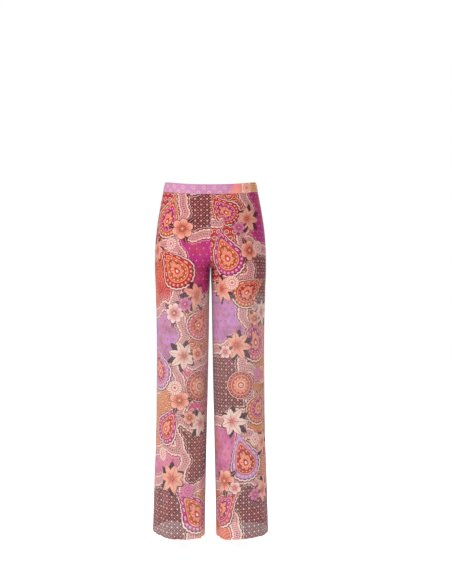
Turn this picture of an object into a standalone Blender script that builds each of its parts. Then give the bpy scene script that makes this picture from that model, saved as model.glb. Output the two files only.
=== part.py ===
# Palazzo pants, worn: four leg panels, a split waistband, short lining legs and a centre-back zip.
#
# Metres, +Z up. The origin is the middle of the waist at its top edge, where the wearer holds the
# garment. -Y is the front and +X is the wearer's left. Every height is a "drop" below the origin.
# Each half of the garment is worked out at +X and turned to -X by its leg's sign.

import math
from collections import namedtuple

import bmesh
import bpy
import numpy as np
from mathutils import Matrix, Vector

# Lengths down the garment
SIDE_LENGTH = 1.041  # waist edge to hem, down the side seam
WAISTBAND_HEIGHT = 0.0285
CROTCH_DROP = 0.255
LINING_LENGTH = 0.331
ZIP_LENGTH = 0.162
FRONT_DIP = 0.014  # the front waist sits this much lower than the sides
FRONT_DIP_ENDS = 0.200
INNER_HEM_DIP = 0.004

# Cloth
CLOTH = 0.0012
WAISTBAND_CLOTH = 0.0020  # two layers with interfacing
WAISTBAND_PROUD = 0.0004
LINING_CLOTH = 0.0010
LINING_INSET = 0.0034
LINING_TOP_INSET = 0.0022  # at the top edge, which is caught behind the waistband
LINING_TOP_ENDS = 0.070
SEAM_GAP = 0.0003
ROUNDNESS = 2.15  # exponent of a section's rounded quarters, where 2 is an ellipse
EDGE_TURN = 0.035  # radians from a seam to the next column, so that walls meet squarely there
SEAM_HOLD = 0.08  # of a panel's width beside each seam, over which the seam holds the flutes in

# Zip at the centre back
ZIP_GAP = 0.0022  # between the waistband's ends
TAPE_WIDTH = 0.0110
TAPE_CLOTH = 0.0006
TAPE_INSET = 0.0020
TAPE_TOP = 0.0168
TAPE_CLEAR = 0.0150  # from the middle, where the lining leaves room for the tapes
SLIDER_DROP = 0.0095
SLIDER_SIZE = (0.0070, 0.0024, 0.0080)  # across, deep, long
BRIDGE_WIDTH = 0.0016
BRIDGE_LENGTH = 0.0044
BRIDGE_STRAP = 0.0009
BRIDGE_WINDOW = (0.0017, 0.0024)  # high, long
TAB_CLOTH = 0.0010
TAB_LENGTH = 0.0230
TAB_NECK = 0.0046
TAB_WIDE = 0.0064
TAB_SHOULDER = 0.0180  # from the hinge to the widest part
TAB_EYE = (0.0026, 0.0026)  # across, long

# How finely the pieces are divided, across and down
PANEL_ACROSS = 18
LINING_ACROSS = 12
HIP_ROWS = 5
LEG_ROW_STEP = 0.047
TAPE_ACROSS = 3
TAPE_DOWN = 12
CROTCH_CURVE_TURNS = (0, 16, 32, 46, 58, 68, 76, 82, 86, 90)  # degrees round the crotch curve

# The garment's outer outline, from the waist down. side is the side seam, inner is the inseam, and
# front and back are where a section reaches furthest forward and backward. Above the crotch the
# inseam's columns only set where the crotch curve ends.
Section = namedtuple("Section", "drop side_x side_y inner_x inner_y front_x front_y back_x back_y")
SECTIONS = (
    #        drop   side_x  side_y  inner_x inner_y front_x front_y  back_x  back_y
    Section(0.000, 0.1360, 0.0000, 0.0002, 0.0000, 0.0120, -0.0940, 0.0140, 0.0930),
    Section(0.060, 0.1485, 0.0030, 0.0002, 0.0000, 0.0200, -0.1010, 0.0280, 0.1040),
    Section(0.120, 0.1585, 0.0060, 0.0002, 0.0000, 0.0330, -0.1055, 0.0480, 0.1190),
    Section(0.180, 0.1648, 0.0080, 0.0002, 0.0000, 0.0520, -0.1075, 0.0660, 0.1300),
    Section(0.255, 0.1668, 0.0090, 0.0004, 0.0000, 0.0740, -0.1080, 0.0820, 0.1290),
    Section(0.330, 0.1640, 0.0100, 0.0032, -0.0010, 0.0790, -0.1065, 0.0850, 0.1230),
    Section(0.450, 0.1615, 0.0110, 0.0052, -0.0030, 0.0790, -0.1040, 0.0880, 0.1150),
    Section(0.620, 0.1620, 0.0130, 0.0085, -0.0070, 0.0780, -0.1020, 0.0930, 0.1100),
    Section(0.760, 0.1648, 0.0150, 0.0115, -0.0110, 0.0770, -0.1025, 0.0980, 0.1080),
    Section(0.900, 0.1694, 0.0180, 0.0145, -0.0160, 0.0760, -0.1040, 0.1030, 0.1095),
    Section(1.041, 0.1738, 0.0210, 0.0168, -0.0210, 0.0750, -0.1060, 0.1080, 0.1120),
)

# The drop where the centre seam starts to sink in between the legs
VALLEY_STARTS = {"front": 0.178, "back": 0.162}
FACE_SIGN = {"front": -1, "back": 1}
LEG_SIGN = {"left": 1, "right": -1}

# Soft flutes of the hanging cloth. seat is how far round the panel, from the side seam (0) to the
# inseam (1), and drift how far the flute moves round on its way to the hem.
Flute = namedtuple("Flute", "face leg seat drift width height start full")
FLUTES = (
    #     face     leg      seat  drift   width  height   start  full
    Flute("front", "left", 0.18, 0.03, 0.070, 0.0040, 0.480, 0.980),
    Flute("front", "left", 0.41, -0.02, 0.090, -0.0045, 0.360, 0.900),
    Flute("front", "left", 0.63, 0.04, 0.075, 0.0050, 0.300, 0.860),
    Flute("front", "left", 0.83, 0.00, 0.060, -0.0030, 0.560, 1.000),
    Flute("front", "right", 0.15, 0.02, 0.080, -0.0035, 0.520, 0.960),
    Flute("front", "right", 0.36, 0.04, 0.075, 0.0048, 0.340, 0.840),
    Flute("front", "right", 0.58, 0.01, 0.085, -0.0042, 0.420, 0.920),
    Flute("front", "right", 0.79, -0.03, 0.065, 0.0036, 0.600, 1.020),
    Flute("back", "left", 0.20, 0.02, 0.080, 0.0050, 0.300, 0.880),
    Flute("back", "left", 0.44, 0.03, 0.085, -0.0060, 0.260, 0.820),
    Flute("back", "left", 0.68, -0.02, 0.075, 0.0055, 0.380, 0.900),
    Flute("back", "right", 0.16, 0.03, 0.070, -0.0040, 0.420, 0.920),
    Flute("back", "right", 0.39, -0.02, 0.085, 0.0060, 0.280, 0.840),
    Flute("back", "right", 0.62, 0.03, 0.080, -0.0055, 0.320, 0.880),
    Flute("back", "right", 0.84, 0.00, 0.060, 0.0030, 0.600, 1.020),
)


# ---------------------------------------------------------------- outline of the garment


def smooth_step(low, high, value):
    share = min(1.0, max(0.0, (value - low) / (high - low)))
    return share * share * (3 - 2 * share)


def section_at(drop):
    """The outline's row at any drop, on a smooth curve through the rows of SECTIONS."""
    rows = np.array(SECTIONS)
    drops = rows[:, 0]
    slopes = np.gradient(rows, drops, axis=0)
    below = int(np.clip(np.searchsorted(drops, drop), 1, len(drops) - 1))
    above = below - 1
    span = drops[below] - drops[above]
    t = (drop - drops[above]) / span
    row = (
        (2 * t**3 - 3 * t**2 + 1) * rows[above]
        + (t**3 - 2 * t**2 + t) * span * slopes[above]
        + (3 * t**2 - 2 * t**3) * rows[below]
        + (t**3 - t**2) * span * slopes[below]
    )
    return Section(*row)


def inner_edge(face, drop, inset, seam):
    """The x and y of a panel's inner edge, and how much of its inner quarter is there.

    Below the crotch the whole quarter is there, down to the inseam. Above it the two legs run into
    each other, and the centre seam cuts the quarter short along the crotch curve.
    """
    crotch = CROTCH_DROP - inset
    row = section_at(max(drop, crotch))
    end_y = row.inner_y + FACE_SIGN[face] * SEAM_GAP / 2
    if drop < crotch:
        start = VALLEY_STARTS[face]
        return seam / 2, end_y, max(0.0, (drop - start) / (crotch - start))
    stands_off = max(row.inner_x, SEAM_GAP / 2)
    left = max(0.0, 1 - (drop - crotch) / inset) if inset > 0 else 0.0
    return stands_off + inset * math.sqrt(1 - left * left), end_y, 1.0


def quarter(turn):
    """A rounded quarter's reach across and its height, each 0 to 1, at angles from its peak."""
    return np.sin(turn) ** (2 / ROUNDNESS), np.cos(turn) ** (2 / ROUNDNESS)


def column_turns(columns):
    """Angles of half a panel's columns, from a quarter's peak to its seam."""
    return np.append(np.linspace(0, math.pi / 2 - EDGE_TURN, columns // 2), math.pi / 2)


def section_line(face, drop, inset, seam, columns):
    """A panel's section, from the side seam round to its inner edge, as rows of x, y."""
    row = section_at(drop)
    sign = FACE_SIGN[face]
    peak_x, peak_y = (row.front_x, row.front_y) if face == "front" else (row.back_x, row.back_y)
    peak_y -= sign * inset
    side_y = row.side_y + sign * SEAM_GAP / 2
    turns = column_turns(columns)
    reach, height = quarter(turns[::-1])
    outer_x = peak_x + (row.side_x - inset - peak_x) * reach
    outer_y = side_y + (peak_y - side_y) * height
    edge_x, end_y, share = inner_edge(face, drop, inset, seam)
    reach, height = quarter(turns[1:])
    inner_x = peak_x - (peak_x - edge_x) * reach
    inner_y = end_y + (peak_y - end_y) * (1 - (share * reach) ** ROUNDNESS) ** (1 / ROUNDNESS)
    return np.stack((np.append(outer_x, inner_x), np.append(outer_y, inner_y)), axis=1)


def flute_height(face, leg, share, drop):
    """How far the flutes push the cloth out, at a share of the way round and a drop."""
    height = np.zeros_like(share)
    for flute in FLUTES:
        if (flute.face, flute.leg) != (face, leg):
            continue
        grown = smooth_step(flute.start, flute.full, drop)
        seat = flute.seat + flute.drift * grown
        height += flute.height * grown * np.exp(-(((share - seat) / flute.width) ** 2))
    return height * np.clip(np.minimum(share, 1 - share) / SEAM_HOLD, 0, 1)


def hung(face, drop, point):
    """A section's point set at its height, with the dip of the front waist and of the inner hem."""
    row = section_at(drop)
    forward = max(0.0, (row.side_y - point[1]) / (row.side_y - row.front_y))
    dip = FRONT_DIP * forward**2 * (1 - smooth_step(WAISTBAND_HEIGHT, FRONT_DIP_ENDS, drop))
    inward = (row.side_x - point[0]) / (row.side_x - row.inner_x)
    dip += INNER_HEM_DIP * inward * smooth_step(CROTCH_DROP, SIDE_LENGTH, drop)
    return Vector((point[0], point[1], -drop - dip))


def lining_ease(face, across, drop):
    """How far the lining's top comes out to the waistband, clear of the zip tapes at the back."""
    near_top = 1 - smooth_step(WAISTBAND_HEIGHT, LINING_TOP_ENDS, drop)
    clear = np.clip((across - TAPE_CLEAR) / TAPE_WIDTH, 0, 1) if face == "back" else 1.0
    return (LINING_INSET - LINING_TOP_INSET) * near_top * clear


def panel_row(face, leg, drop, columns, inset=0.0, seam=SEAM_GAP):
    """Points of one row of a panel, from the side seam round to its inner edge."""
    line = section_line(face, drop, inset, seam, columns)
    tangent = np.gradient(line, axis=0)
    tangent /= np.linalg.norm(tangent, axis=1)[:, None]
    outward = np.stack((tangent[:, 1], -tangent[:, 0]), axis=1) * FACE_SIGN[face]
    outward[0] = (1, 0)
    outward[-1] = (0, FACE_SIGN[face])
    turn_share = column_turns(columns) / math.pi
    share = np.append((0.5 - turn_share)[::-1], (0.5 + turn_share)[1:])
    moved = flute_height(face, leg, share, drop)
    if inset == LINING_INSET:
        moved += lining_ease(face, line[:, 0], drop)
    return [hung(face, drop, point) for point in line + outward * moved[:, None]]


def panel_drops(bottom, inset=0.0):
    """Row heights, close together where the centre seam turns under the crotch."""
    crotch = CROTCH_DROP - inset
    start = VALLEY_STARTS["back"]
    above = list(np.linspace(WAISTBAND_HEIGHT + SEAM_GAP, start, HIP_ROWS, endpoint=False))
    turns = np.radians(CROTCH_CURVE_TURNS)
    curved = list(start + (crotch - start) * np.sin(turns))
    saddle = [crotch + inset * (1 - math.cos(turn)) for turn in turns[2::3]] if inset > 0 else []
    leg = [crotch + step for step in np.arange(LEG_ROW_STEP / 3, bottom, LEG_ROW_STEP)]
    last = bottom - LEG_ROW_STEP / 3
    return above + curved + saddle + [drop for drop in leg if drop < last] + [bottom]


# ---------------------------------------------------------------- making objects


def clear_scene():
    for thing in list(bpy.data.objects):
        bpy.data.objects.remove(thing, do_unlink=True)


def new_material(name, color, roughness, metallic=0.0):
    material = bpy.data.materials.new(name)
    material.use_nodes = True
    shader = material.node_tree.nodes["Principled BSDF"]
    shader.inputs["Base Color"].default_value = (*color, 1.0)
    shader.inputs["Roughness"].default_value = roughness
    shader.inputs["Metallic"].default_value = metallic
    return material


def new_collection(name):
    made = bpy.data.collections.new(name)
    bpy.context.scene.collection.children.link(made)
    return made


def object_from_bmesh(name, bm, material, collection, smooth=True):
    mesh = bpy.data.meshes.new(name)
    bm.to_mesh(mesh)
    bm.free()
    if smooth:
        mesh.shade_smooth()
    mesh.materials.append(material)
    thing = bpy.data.objects.new(name, mesh)
    collection.objects.link(thing)
    return thing


def cloth_from_rows(name, rows, thickness, face, leg, material, collection):
    """A cloth wall: a grid laid on rows of outer points, thickened inwards with Solidify.

    The rows run from the side seam to the middle at +X, and are turned to the leg's own side.
    """
    sign = LEG_SIGN[leg]
    rows = [[Vector((sign * p.x, p.y, p.z)) for p in row] for row in rows]
    if FACE_SIGN[face] * sign < 0:
        rows = [list(reversed(row)) for row in rows]  # so that the grid faces out
    across = len(rows[0]) - 1
    down = len(rows) - 1
    bm = bmesh.new()
    bmesh.ops.create_grid(bm, x_segments=across, y_segments=down, size=1.0)
    for vert in bm.verts:
        column = round((vert.co.x + 1) / 2 * across)
        row = round((1 - vert.co.y) / 2 * down)
        vert.co = rows[row][column]
    thing = object_from_bmesh(name, bm, material, collection)
    wall = thing.modifiers.new("Wall", "SOLIDIFY")
    wall.thickness = thickness
    wall.offset = -1
    return thing


# ---------------------------------------------------------------- the garment's pieces


def make_leg_panels(material, collection):
    drops = panel_drops(SIDE_LENGTH)
    for face in ("front", "back"):
        for leg in ("left", "right"):
            rows = [panel_row(face, leg, drop, PANEL_ACROSS) for drop in drops]
            cloth_from_rows(f"{face}_{leg}", rows, CLOTH, face, leg, material, collection)


def make_lining(material, collection):
    drops = panel_drops(LINING_LENGTH, LINING_INSET)
    for face in ("front", "back"):
        for leg in ("left", "right"):
            rows = [panel_row(face, leg, drop, LINING_ACROSS, LINING_INSET) for drop in drops]
            name = f"lining_{face}_{leg}"
            cloth_from_rows(name, rows, LINING_CLOTH, face, leg, material, collection)


def make_waistband(material, collection):
    drops = (0.0, WAISTBAND_HEIGHT / 2, WAISTBAND_HEIGHT)
    front = []
    for drop in drops:
        half = panel_row("front", "left", drop, PANEL_ACROSS, -WAISTBAND_PROUD, 0.0)
        other = [Vector((-p.x, p.y, p.z)) for p in reversed(half[:-1])]
        front.append(half + other)
    name = "waistband_front"
    cloth_from_rows(name, front, WAISTBAND_CLOTH, "front", "left", material, collection)
    for leg in ("left", "right"):
        rows = []
        for drop in drops:
            rows.append(panel_row("back", leg, drop, PANEL_ACROSS, -WAISTBAND_PROUD, ZIP_GAP))
        name = f"waistband_back_{leg}"
        cloth_from_rows(name, rows, WAISTBAND_CLOTH, "back", leg, material, collection)


# ---------------------------------------------------------------- the zip


def make_zip_tapes(material, collection):
    drops = np.linspace(TAPE_TOP, ZIP_LENGTH, TAPE_DOWN + 1)
    across = np.linspace(TAPE_WIDTH, SEAM_GAP / 2, TAPE_ACROSS + 1)
    for leg in ("left", "right"):
        rows = []
        for drop in drops:
            line = section_line("back", drop, TAPE_INSET, SEAM_GAP, PANEL_ACROSS)
            depth = np.interp(across, line[::-1, 0], line[::-1, 1])
            rows.append([hung("back", drop, point) for point in zip(across, depth)])
        cloth_from_rows(f"zip_tape_{leg}", rows, TAPE_CLOTH, "back", leg, material, collection)


def back_frame(drop):
    """Axes at the centre back: x across, y straight out of the cloth and z up along it."""
    here = Vector((0, section_at(drop).back_y + WAISTBAND_PROUD, -drop))
    top = Vector((0, section_at(0).back_y + WAISTBAND_PROUD, 0))
    up = (top - here).normalized()
    out = Vector((0, up.z, -up.y))
    return Matrix.Translation(here) @ Matrix((Vector((1, 0, 0)), out, up)).transposed().to_4x4()


def box(name, size, center, collection, material):
    bm = bmesh.new()
    bmesh.ops.create_cube(bm, size=1.0, matrix=Matrix.Diagonal((*size, 1.0)))
    bmesh.ops.translate(bm, verts=bm.verts, vec=center)
    return object_from_bmesh(name, bm, material, collection, smooth=False)


def boolean(thing, other, operation):
    modifier = thing.modifiers.new(operation.title(), "BOOLEAN")
    modifier.operation = operation
    modifier.object = other
    modifier.solver = "EXACT"


def make_slider(material, collection, helpers):
    """A body inside the cloth, and a bridge that comes out through the waistband's back gap."""
    across, deep, long = SLIDER_SIZE
    inner_face = -WAISTBAND_CLOTH - SEAM_GAP
    body = box("zip_slider", SLIDER_SIZE, (0, inner_face - deep / 2, 0), collection, material)
    bridge_top = BRIDGE_WINDOW[0] + BRIDGE_STRAP
    root = inner_face - deep / 2
    bridge_size = (BRIDGE_WIDTH, bridge_top - root, BRIDGE_LENGTH)
    bridge = box("bridge", bridge_size, (0, (bridge_top + root) / 2, 0), helpers, material)
    window_size = (BRIDGE_WIDTH * 3, BRIDGE_WINDOW[0], BRIDGE_WINDOW[1])
    window = box("window", window_size, (0, BRIDGE_WINDOW[0] / 2, 0), helpers, material)
    boolean(bridge, window, "DIFFERENCE")
    boolean(body, bridge, "UNION")
    for thing in (body, bridge, window):
        thing.matrix_world = back_frame(SLIDER_DROP)
    return body


def make_pull_tab(material, collection):
    """A flat teardrop that hangs from the bridge by its eye, hinged on the bar above the eye."""
    half_bar = TAB_CLOTH / 2
    eye_across, eye_long = TAB_EYE[0] / 2, TAB_EYE[1]
    outline = [
        (-TAB_NECK / 2, half_bar),
        (-TAB_NECK / 2, -eye_long - half_bar),
        (-TAB_WIDE / 2, -TAB_SHOULDER),
        (0, -TAB_LENGTH),
        (TAB_WIDE / 2, -TAB_SHOULDER),
        (TAB_NECK / 2, -eye_long - half_bar),
        (TAB_NECK / 2, half_bar),
    ]
    rounded_end = (2, 3, 4)
    eye = [
        (-eye_across, -half_bar),
        (eye_across, -half_bar),
        (eye_across, -half_bar - eye_long),
        (-eye_across, -half_bar - eye_long),
    ]
    curve = bpy.data.curves.new("zip_pull", "CURVE")
    curve.dimensions = "2D"
    curve.fill_mode = "BOTH"
    curve.extrude = TAB_CLOTH / 2
    curve.resolution_u = 6
    for points, rounded in ((outline, rounded_end), (eye, ())):
        spline = curve.splines.new("BEZIER")
        spline.bezier_points.add(len(points) - 1)
        spline.use_cyclic_u = True
        for index, (x, z) in enumerate(points):
            knot = spline.bezier_points[index]
            knot.co = (x, z, 0)
            kind = "AUTO" if index in rounded else "VECTOR"
            knot.handle_left_type = kind
            knot.handle_right_type = kind
    curve.materials.append(material)
    tab = bpy.data.objects.new("zip_pull", curve)
    collection.objects.link(tab)
    hinge = bpy.data.objects.new("zip_pull_hinge", None)
    collection.objects.link(hinge)
    pivot_out = BRIDGE_WINDOW[0] / 2
    hinge.matrix_world = back_frame(SLIDER_DROP) @ Matrix.Translation((0, pivot_out, 0))
    tab.parent = hinge
    tab.rotation_euler = (math.pi / 2, 0, 0)
    return tab


# ---------------------------------------------------------------- build


def main():
    clear_scene()
    garment = new_collection("palazzo_pants")
    helpers = new_collection("cutters")
    printed = new_material("printed_sheer", (0.78, 0.36, 0.42), 0.62)
    band = new_material("waistband_print", (0.72, 0.36, 0.66), 0.60)
    lining = new_material("lining", (0.80, 0.34, 0.40), 0.70)
    tape = new_material("zip_tape", (0.70, 0.34, 0.56), 0.75)
    metal = new_material("zip_metal", (0.72, 0.42, 0.60), 0.40, 0.3)
    make_leg_panels(printed, garment)
    make_lining(lining, garment)
    make_waistband(band, garment)
    make_zip_tapes(tape, garment)
    make_slider(metal, garment, helpers)
    make_pull_tab(metal, garment)
    for helper in helpers.objects:
        helper.hide_render = True
        helper.display_type = "WIRE"


main()
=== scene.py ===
import math

import bpy
import numpy as np
from mathutils import Matrix, Vector


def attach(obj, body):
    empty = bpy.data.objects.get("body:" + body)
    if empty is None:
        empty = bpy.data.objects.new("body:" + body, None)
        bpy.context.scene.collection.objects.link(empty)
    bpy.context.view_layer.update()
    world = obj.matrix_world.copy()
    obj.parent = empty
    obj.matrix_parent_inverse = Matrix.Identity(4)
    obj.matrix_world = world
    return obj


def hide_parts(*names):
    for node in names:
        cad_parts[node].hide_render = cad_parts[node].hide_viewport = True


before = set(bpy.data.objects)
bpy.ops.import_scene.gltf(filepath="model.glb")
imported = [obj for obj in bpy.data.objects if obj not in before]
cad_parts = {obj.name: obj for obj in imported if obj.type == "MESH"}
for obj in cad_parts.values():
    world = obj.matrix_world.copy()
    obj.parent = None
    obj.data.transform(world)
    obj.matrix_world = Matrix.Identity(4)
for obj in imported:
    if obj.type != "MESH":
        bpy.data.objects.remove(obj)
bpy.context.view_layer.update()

# Palazzo pants in printed sheer cloth, with a short lining and a centre-back zip.
# Metres, +Z up, -Y the front, +X the wearer's left. The origin is the middle of the waist's top edge.


# camera and studio

viewpoint = {"place": (0.0, -2.9, -0.327), "lens": 59.6, "shiftX": 0.0265}

studio = {
    "floorHeight": -1.085,
    "floorSize": 14.0,
    "floorColour": (0.93, 0.93, 0.935),
    "floorGlow": 0.78,
    "skyLight": 0.24,
    "aim": (0.0, 0.0, -0.5),
    # place, size and power
    "lights": {
        "keyLight": ((-2.3, -2.4, 1.3), 1.2, 97.0),
        "fillLight": ((2.6, -1.6, 0.2), 2.2, 17.0),
        "backLight": ((0.8, 3.0, 0.9), 2.0, 34.0),
    },
}


def deselectAll():
    bpy.ops.object.select_all(action="DESELECT")


def makeCamera():
    bpy.ops.object.camera_add(location=viewpoint["place"], rotation=(math.radians(90), 0, 0))
    camera = bpy.context.object
    camera.name = "camera"
    camera.data.lens = viewpoint["lens"]
    camera.data.shift_x = viewpoint["shiftX"]
    bpy.context.scene.camera = camera


def makeLight(name, place, size, power):
    bpy.ops.object.light_add(type="AREA", location=place)
    light = bpy.context.object
    light.name = name
    light.data.shape = "DISK"
    light.data.size = size
    light.data.energy = power
    aim = Vector(studio["aim"]) - Vector(place)
    light.rotation_euler = aim.to_track_quat("-Z", "Y").to_euler()


def makeStudio():
    bpy.ops.mesh.primitive_plane_add(size=studio["floorSize"], location=(0, 0, studio["floorHeight"]))
    floor = bpy.context.object
    floor.name = "floor"
    paint = bpy.data.materials.new("floorPaint")
    paint.use_nodes = True
    shader = paint.node_tree.nodes["Principled BSDF"]
    shader.inputs["Base Color"].default_value = (*studio["floorColour"], 1)
    shader.inputs["Roughness"].default_value = 0.9
    shader.inputs["Emission Color"].default_value = (1, 1, 1, 1)
    shader.inputs["Emission Strength"].default_value = studio["floorGlow"]
    floor.data.materials.append(paint)
    for name, light in studio["lights"].items():
        makeLight(name, *light)
    # a white room that is seen as white and lights a little less
    world = bpy.data.worlds.new("whiteRoom")
    bpy.context.scene.world = world
    world.use_nodes = True
    nodes, links = world.node_tree.nodes, world.node_tree.links
    nodes.clear()
    path = nodes.new("ShaderNodeLightPath")
    strength = nodes.new("ShaderNodeMapRange")
    strength.inputs["To Min"].default_value = studio["skyLight"]
    strength.inputs["To Max"].default_value = 1.0
    sky = nodes.new("ShaderNodeBackground")
    sky.inputs["Color"].default_value = (1, 1, 1, 1)
    out = nodes.new("ShaderNodeOutputWorld")
    links.new(path.outputs["Is Camera Ray"], strength.inputs["Value"])
    links.new(strength.outputs["Result"], sky.inputs["Strength"])
    links.new(sky.outputs["Background"], out.inputs["Surface"])
    bpy.context.scene.view_settings.view_transform = "Standard"


makeCamera()
makeStudio()
print("camera and studio ready")


# the garment's form: the same sizes as its solids, laid out more finely

cut = {
    "sideLength": 1.041,
    "waistband": 0.0285,
    "crotch": 0.255,
    "liningLength": 0.331,
    "zipLength": 0.162,
    "frontDip": 0.014,
    "frontDipEnds": 0.200,
    "innerHemDip": 0.004,
    "seamGap": 0.00004,
    "bandGap": 0.0003,
    "seamGroove": 0.0007,
    "grooveWidth": 0.012,
    "grooveFull": 0.036,
    "creaseDepth": 2.0,
    "creaseSpread": 1.25,
    "creaseFade": 0.7,
    "creaseGrown": 0.45,
    # height, then two waves: turns across and down the cloth, and a shift
    "ripples": [(0.0007, (95, 9, 1), (-15, 17, 2)), (0.00056, (160, -13, 3), (24, 29, 0))],
    "rippleGrows": (0.03, 0.12),
    "rippleShift": {"front": 0.4, "back": 2.1},
    "roundness": 2.15,
    "edgeTurn": 0.035,
    "seamHold": 0.08,
    "valleyStart": {"front": 0.178, "back": 0.162},
    "crotchRows": 1.2,
}
faceSign = {"front": -1, "back": 1}
legSign = {"left": 1, "right": -1}
panelPlaces = [(face, leg) for face in faceSign for leg in legSign]

# drop, sideX, sideY, innerX, innerY, frontX, frontY, backX, backY
sections = np.array([
    (0.000, 0.1360, 0.0000, 0.0002, 0.0000, 0.0120, -0.0940, 0.0140, 0.0930),
    (0.060, 0.1485, 0.0030, 0.0002, 0.0000, 0.0200, -0.1010, 0.0280, 0.1040),
    (0.120, 0.1585, 0.0060, 0.0002, 0.0000, 0.0330, -0.1055, 0.0480, 0.1190),
    (0.180, 0.1648, 0.0080, 0.0002, 0.0000, 0.0520, -0.1075, 0.0660, 0.1300),
    (0.255, 0.1668, 0.0090, 0.0004, 0.0000, 0.0740, -0.1080, 0.0820, 0.1290),
    (0.330, 0.1640, 0.0100, 0.0032, -0.0010, 0.0790, -0.1065, 0.0850, 0.1230),
    (0.450, 0.1615, 0.0110, 0.0052, -0.0030, 0.0790, -0.1040, 0.0880, 0.1150),
    (0.620, 0.1620, 0.0130, 0.0085, -0.0070, 0.0780, -0.1020, 0.0930, 0.1100),
    (0.760, 0.1648, 0.0150, 0.0115, -0.0110, 0.0770, -0.1025, 0.0980, 0.1080),
    (0.900, 0.1694, 0.0180, 0.0145, -0.0160, 0.0760, -0.1040, 0.1030, 0.1095),
    (1.041, 0.1738, 0.0210, 0.0168, -0.0210, 0.0750, -0.1060, 0.1080, 0.1120),
])

# Wide flutes of the hanging cloth: seat, drift, width, height, start, full.
# A seat is how far round the panel from the side seam (0) to the inseam (1).
flutes = {
    ("front", "left"): [
        (0.20, 0.03, 0.070, 0.0026, 0.480, 0.980),
        (0.41, -0.02, 0.090, -0.0045, 0.360, 0.900),
        (0.63, 0.04, 0.075, 0.0050, 0.300, 0.860),
        (0.80, 0.00, 0.060, -0.0018, 0.560, 1.000),
    ],
    ("front", "right"): [
        (0.18, 0.02, 0.080, -0.0022, 0.520, 0.960),
        (0.36, 0.04, 0.075, 0.0048, 0.340, 0.840),
        (0.58, 0.01, 0.085, -0.0042, 0.420, 0.920),
        (0.77, -0.03, 0.065, 0.0024, 0.600, 1.020),
    ],
    ("back", "left"): [
        (0.20, 0.02, 0.080, 0.0050, 0.300, 0.880),
        (0.44, 0.03, 0.085, -0.0060, 0.260, 0.820),
        (0.68, -0.02, 0.075, 0.0055, 0.380, 0.900),
    ],
    ("back", "right"): [
        (0.16, 0.03, 0.070, -0.0040, 0.420, 0.920),
        (0.39, -0.02, 0.085, 0.0060, 0.280, 0.840),
        (0.62, 0.03, 0.080, -0.0055, 0.320, 0.880),
        (0.84, 0.00, 0.060, 0.0030, 0.600, 1.020),
    ],
}

# Soft creases: seat at the top, seat at the bottom, top, bottom, width, depth
creases = {
    ("front", "left"): [
        (0.90, 0.66, 0.215, 0.470, 0.016, -0.0016),
        (0.80, 0.52, 0.250, 0.640, 0.018, -0.0014),
        (0.30, 0.34, 0.150, 0.520, 0.020, -0.0011),
        (0.55, 0.56, 0.520, 1.060, 0.020, -0.0022),
        (0.24, 0.28, 0.640, 1.080, 0.017, -0.0019),
        (0.73, 0.76, 0.700, 1.080, 0.015, 0.0015),
        (0.40, 0.44, 0.420, 0.860, 0.030, 0.0016),
        (0.12, 0.15, 0.360, 0.900, 0.022, -0.0013),
        (0.88, 0.86, 0.480, 1.080, 0.020, -0.0014),
    ],
    ("front", "right"): [
        (0.88, 0.60, 0.220, 0.520, 0.017, -0.0017),
        (0.76, 0.47, 0.270, 0.600, 0.018, -0.0013),
        (0.26, 0.30, 0.120, 0.480, 0.019, -0.0010),
        (0.47, 0.45, 0.560, 1.080, 0.019, -0.0021),
        (0.22, 0.25, 0.600, 1.060, 0.018, -0.0016),
        (0.68, 0.70, 0.660, 1.080, 0.016, -0.0018),
        (0.33, 0.37, 0.460, 0.900, 0.030, 0.0015),
        (0.11, 0.13, 0.420, 1.080, 0.020, -0.0012),
        (0.86, 0.83, 0.540, 1.080, 0.022, -0.0015),
    ],
    ("back", "left"): [
        (0.44, 0.43, 0.330, 0.760, 0.030, 0.0018),
        (0.14, 0.16, 0.380, 1.080, 0.022, -0.0014),
        (0.92, 0.60, 0.240, 0.500, 0.018, -0.0022),
        (0.84, 0.46, 0.285, 0.640, 0.020, -0.0018),
        (0.32, 0.30, 0.300, 0.900, 0.020, -0.0020),
        (0.56, 0.57, 0.480, 1.080, 0.018, -0.0024),
        (0.78, 0.80, 0.620, 1.080, 0.015, -0.0016),
    ],
    ("back", "right"): [
        (0.40, 0.38, 0.360, 0.800, 0.030, 0.0017),
        (0.12, 0.15, 0.420, 1.080, 0.022, -0.0014),
        (0.91, 0.63, 0.235, 0.480, 0.018, -0.0021),
        (0.82, 0.50, 0.300, 0.660, 0.020, -0.0017),
        (0.28, 0.27, 0.340, 0.880, 0.019, -0.0021),
        (0.51, 0.52, 0.440, 1.080, 0.019, -0.0023),
        (0.73, 0.76, 0.600, 1.080, 0.016, -0.0018),
    ],
}


def smoothStep(low, high, value):
    share = np.clip((value - low) / (high - low), 0, 1)
    return share * share * (3 - 2 * share)


def lengthsAlong(points):
    return np.append(0, np.cumsum(np.linalg.norm(np.diff(points, axis=0), axis=1)))


def sectionAt(drop):
    drops = sections[:, 0]
    slopes = np.gradient(sections, drops, axis=0)
    below = int(np.clip(np.searchsorted(drops, drop), 1, len(drops) - 1))
    above = below - 1
    span = drops[below] - drops[above]
    t = (drop - drops[above]) / span
    return (
        (2 * t**3 - 3 * t**2 + 1) * sections[above]
        + (t**3 - 2 * t**2 + t) * span * slopes[above]
        + (3 * t**2 - 2 * t**3) * sections[below]
        + (t**3 - t**2) * span * slopes[below]
    )


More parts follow.
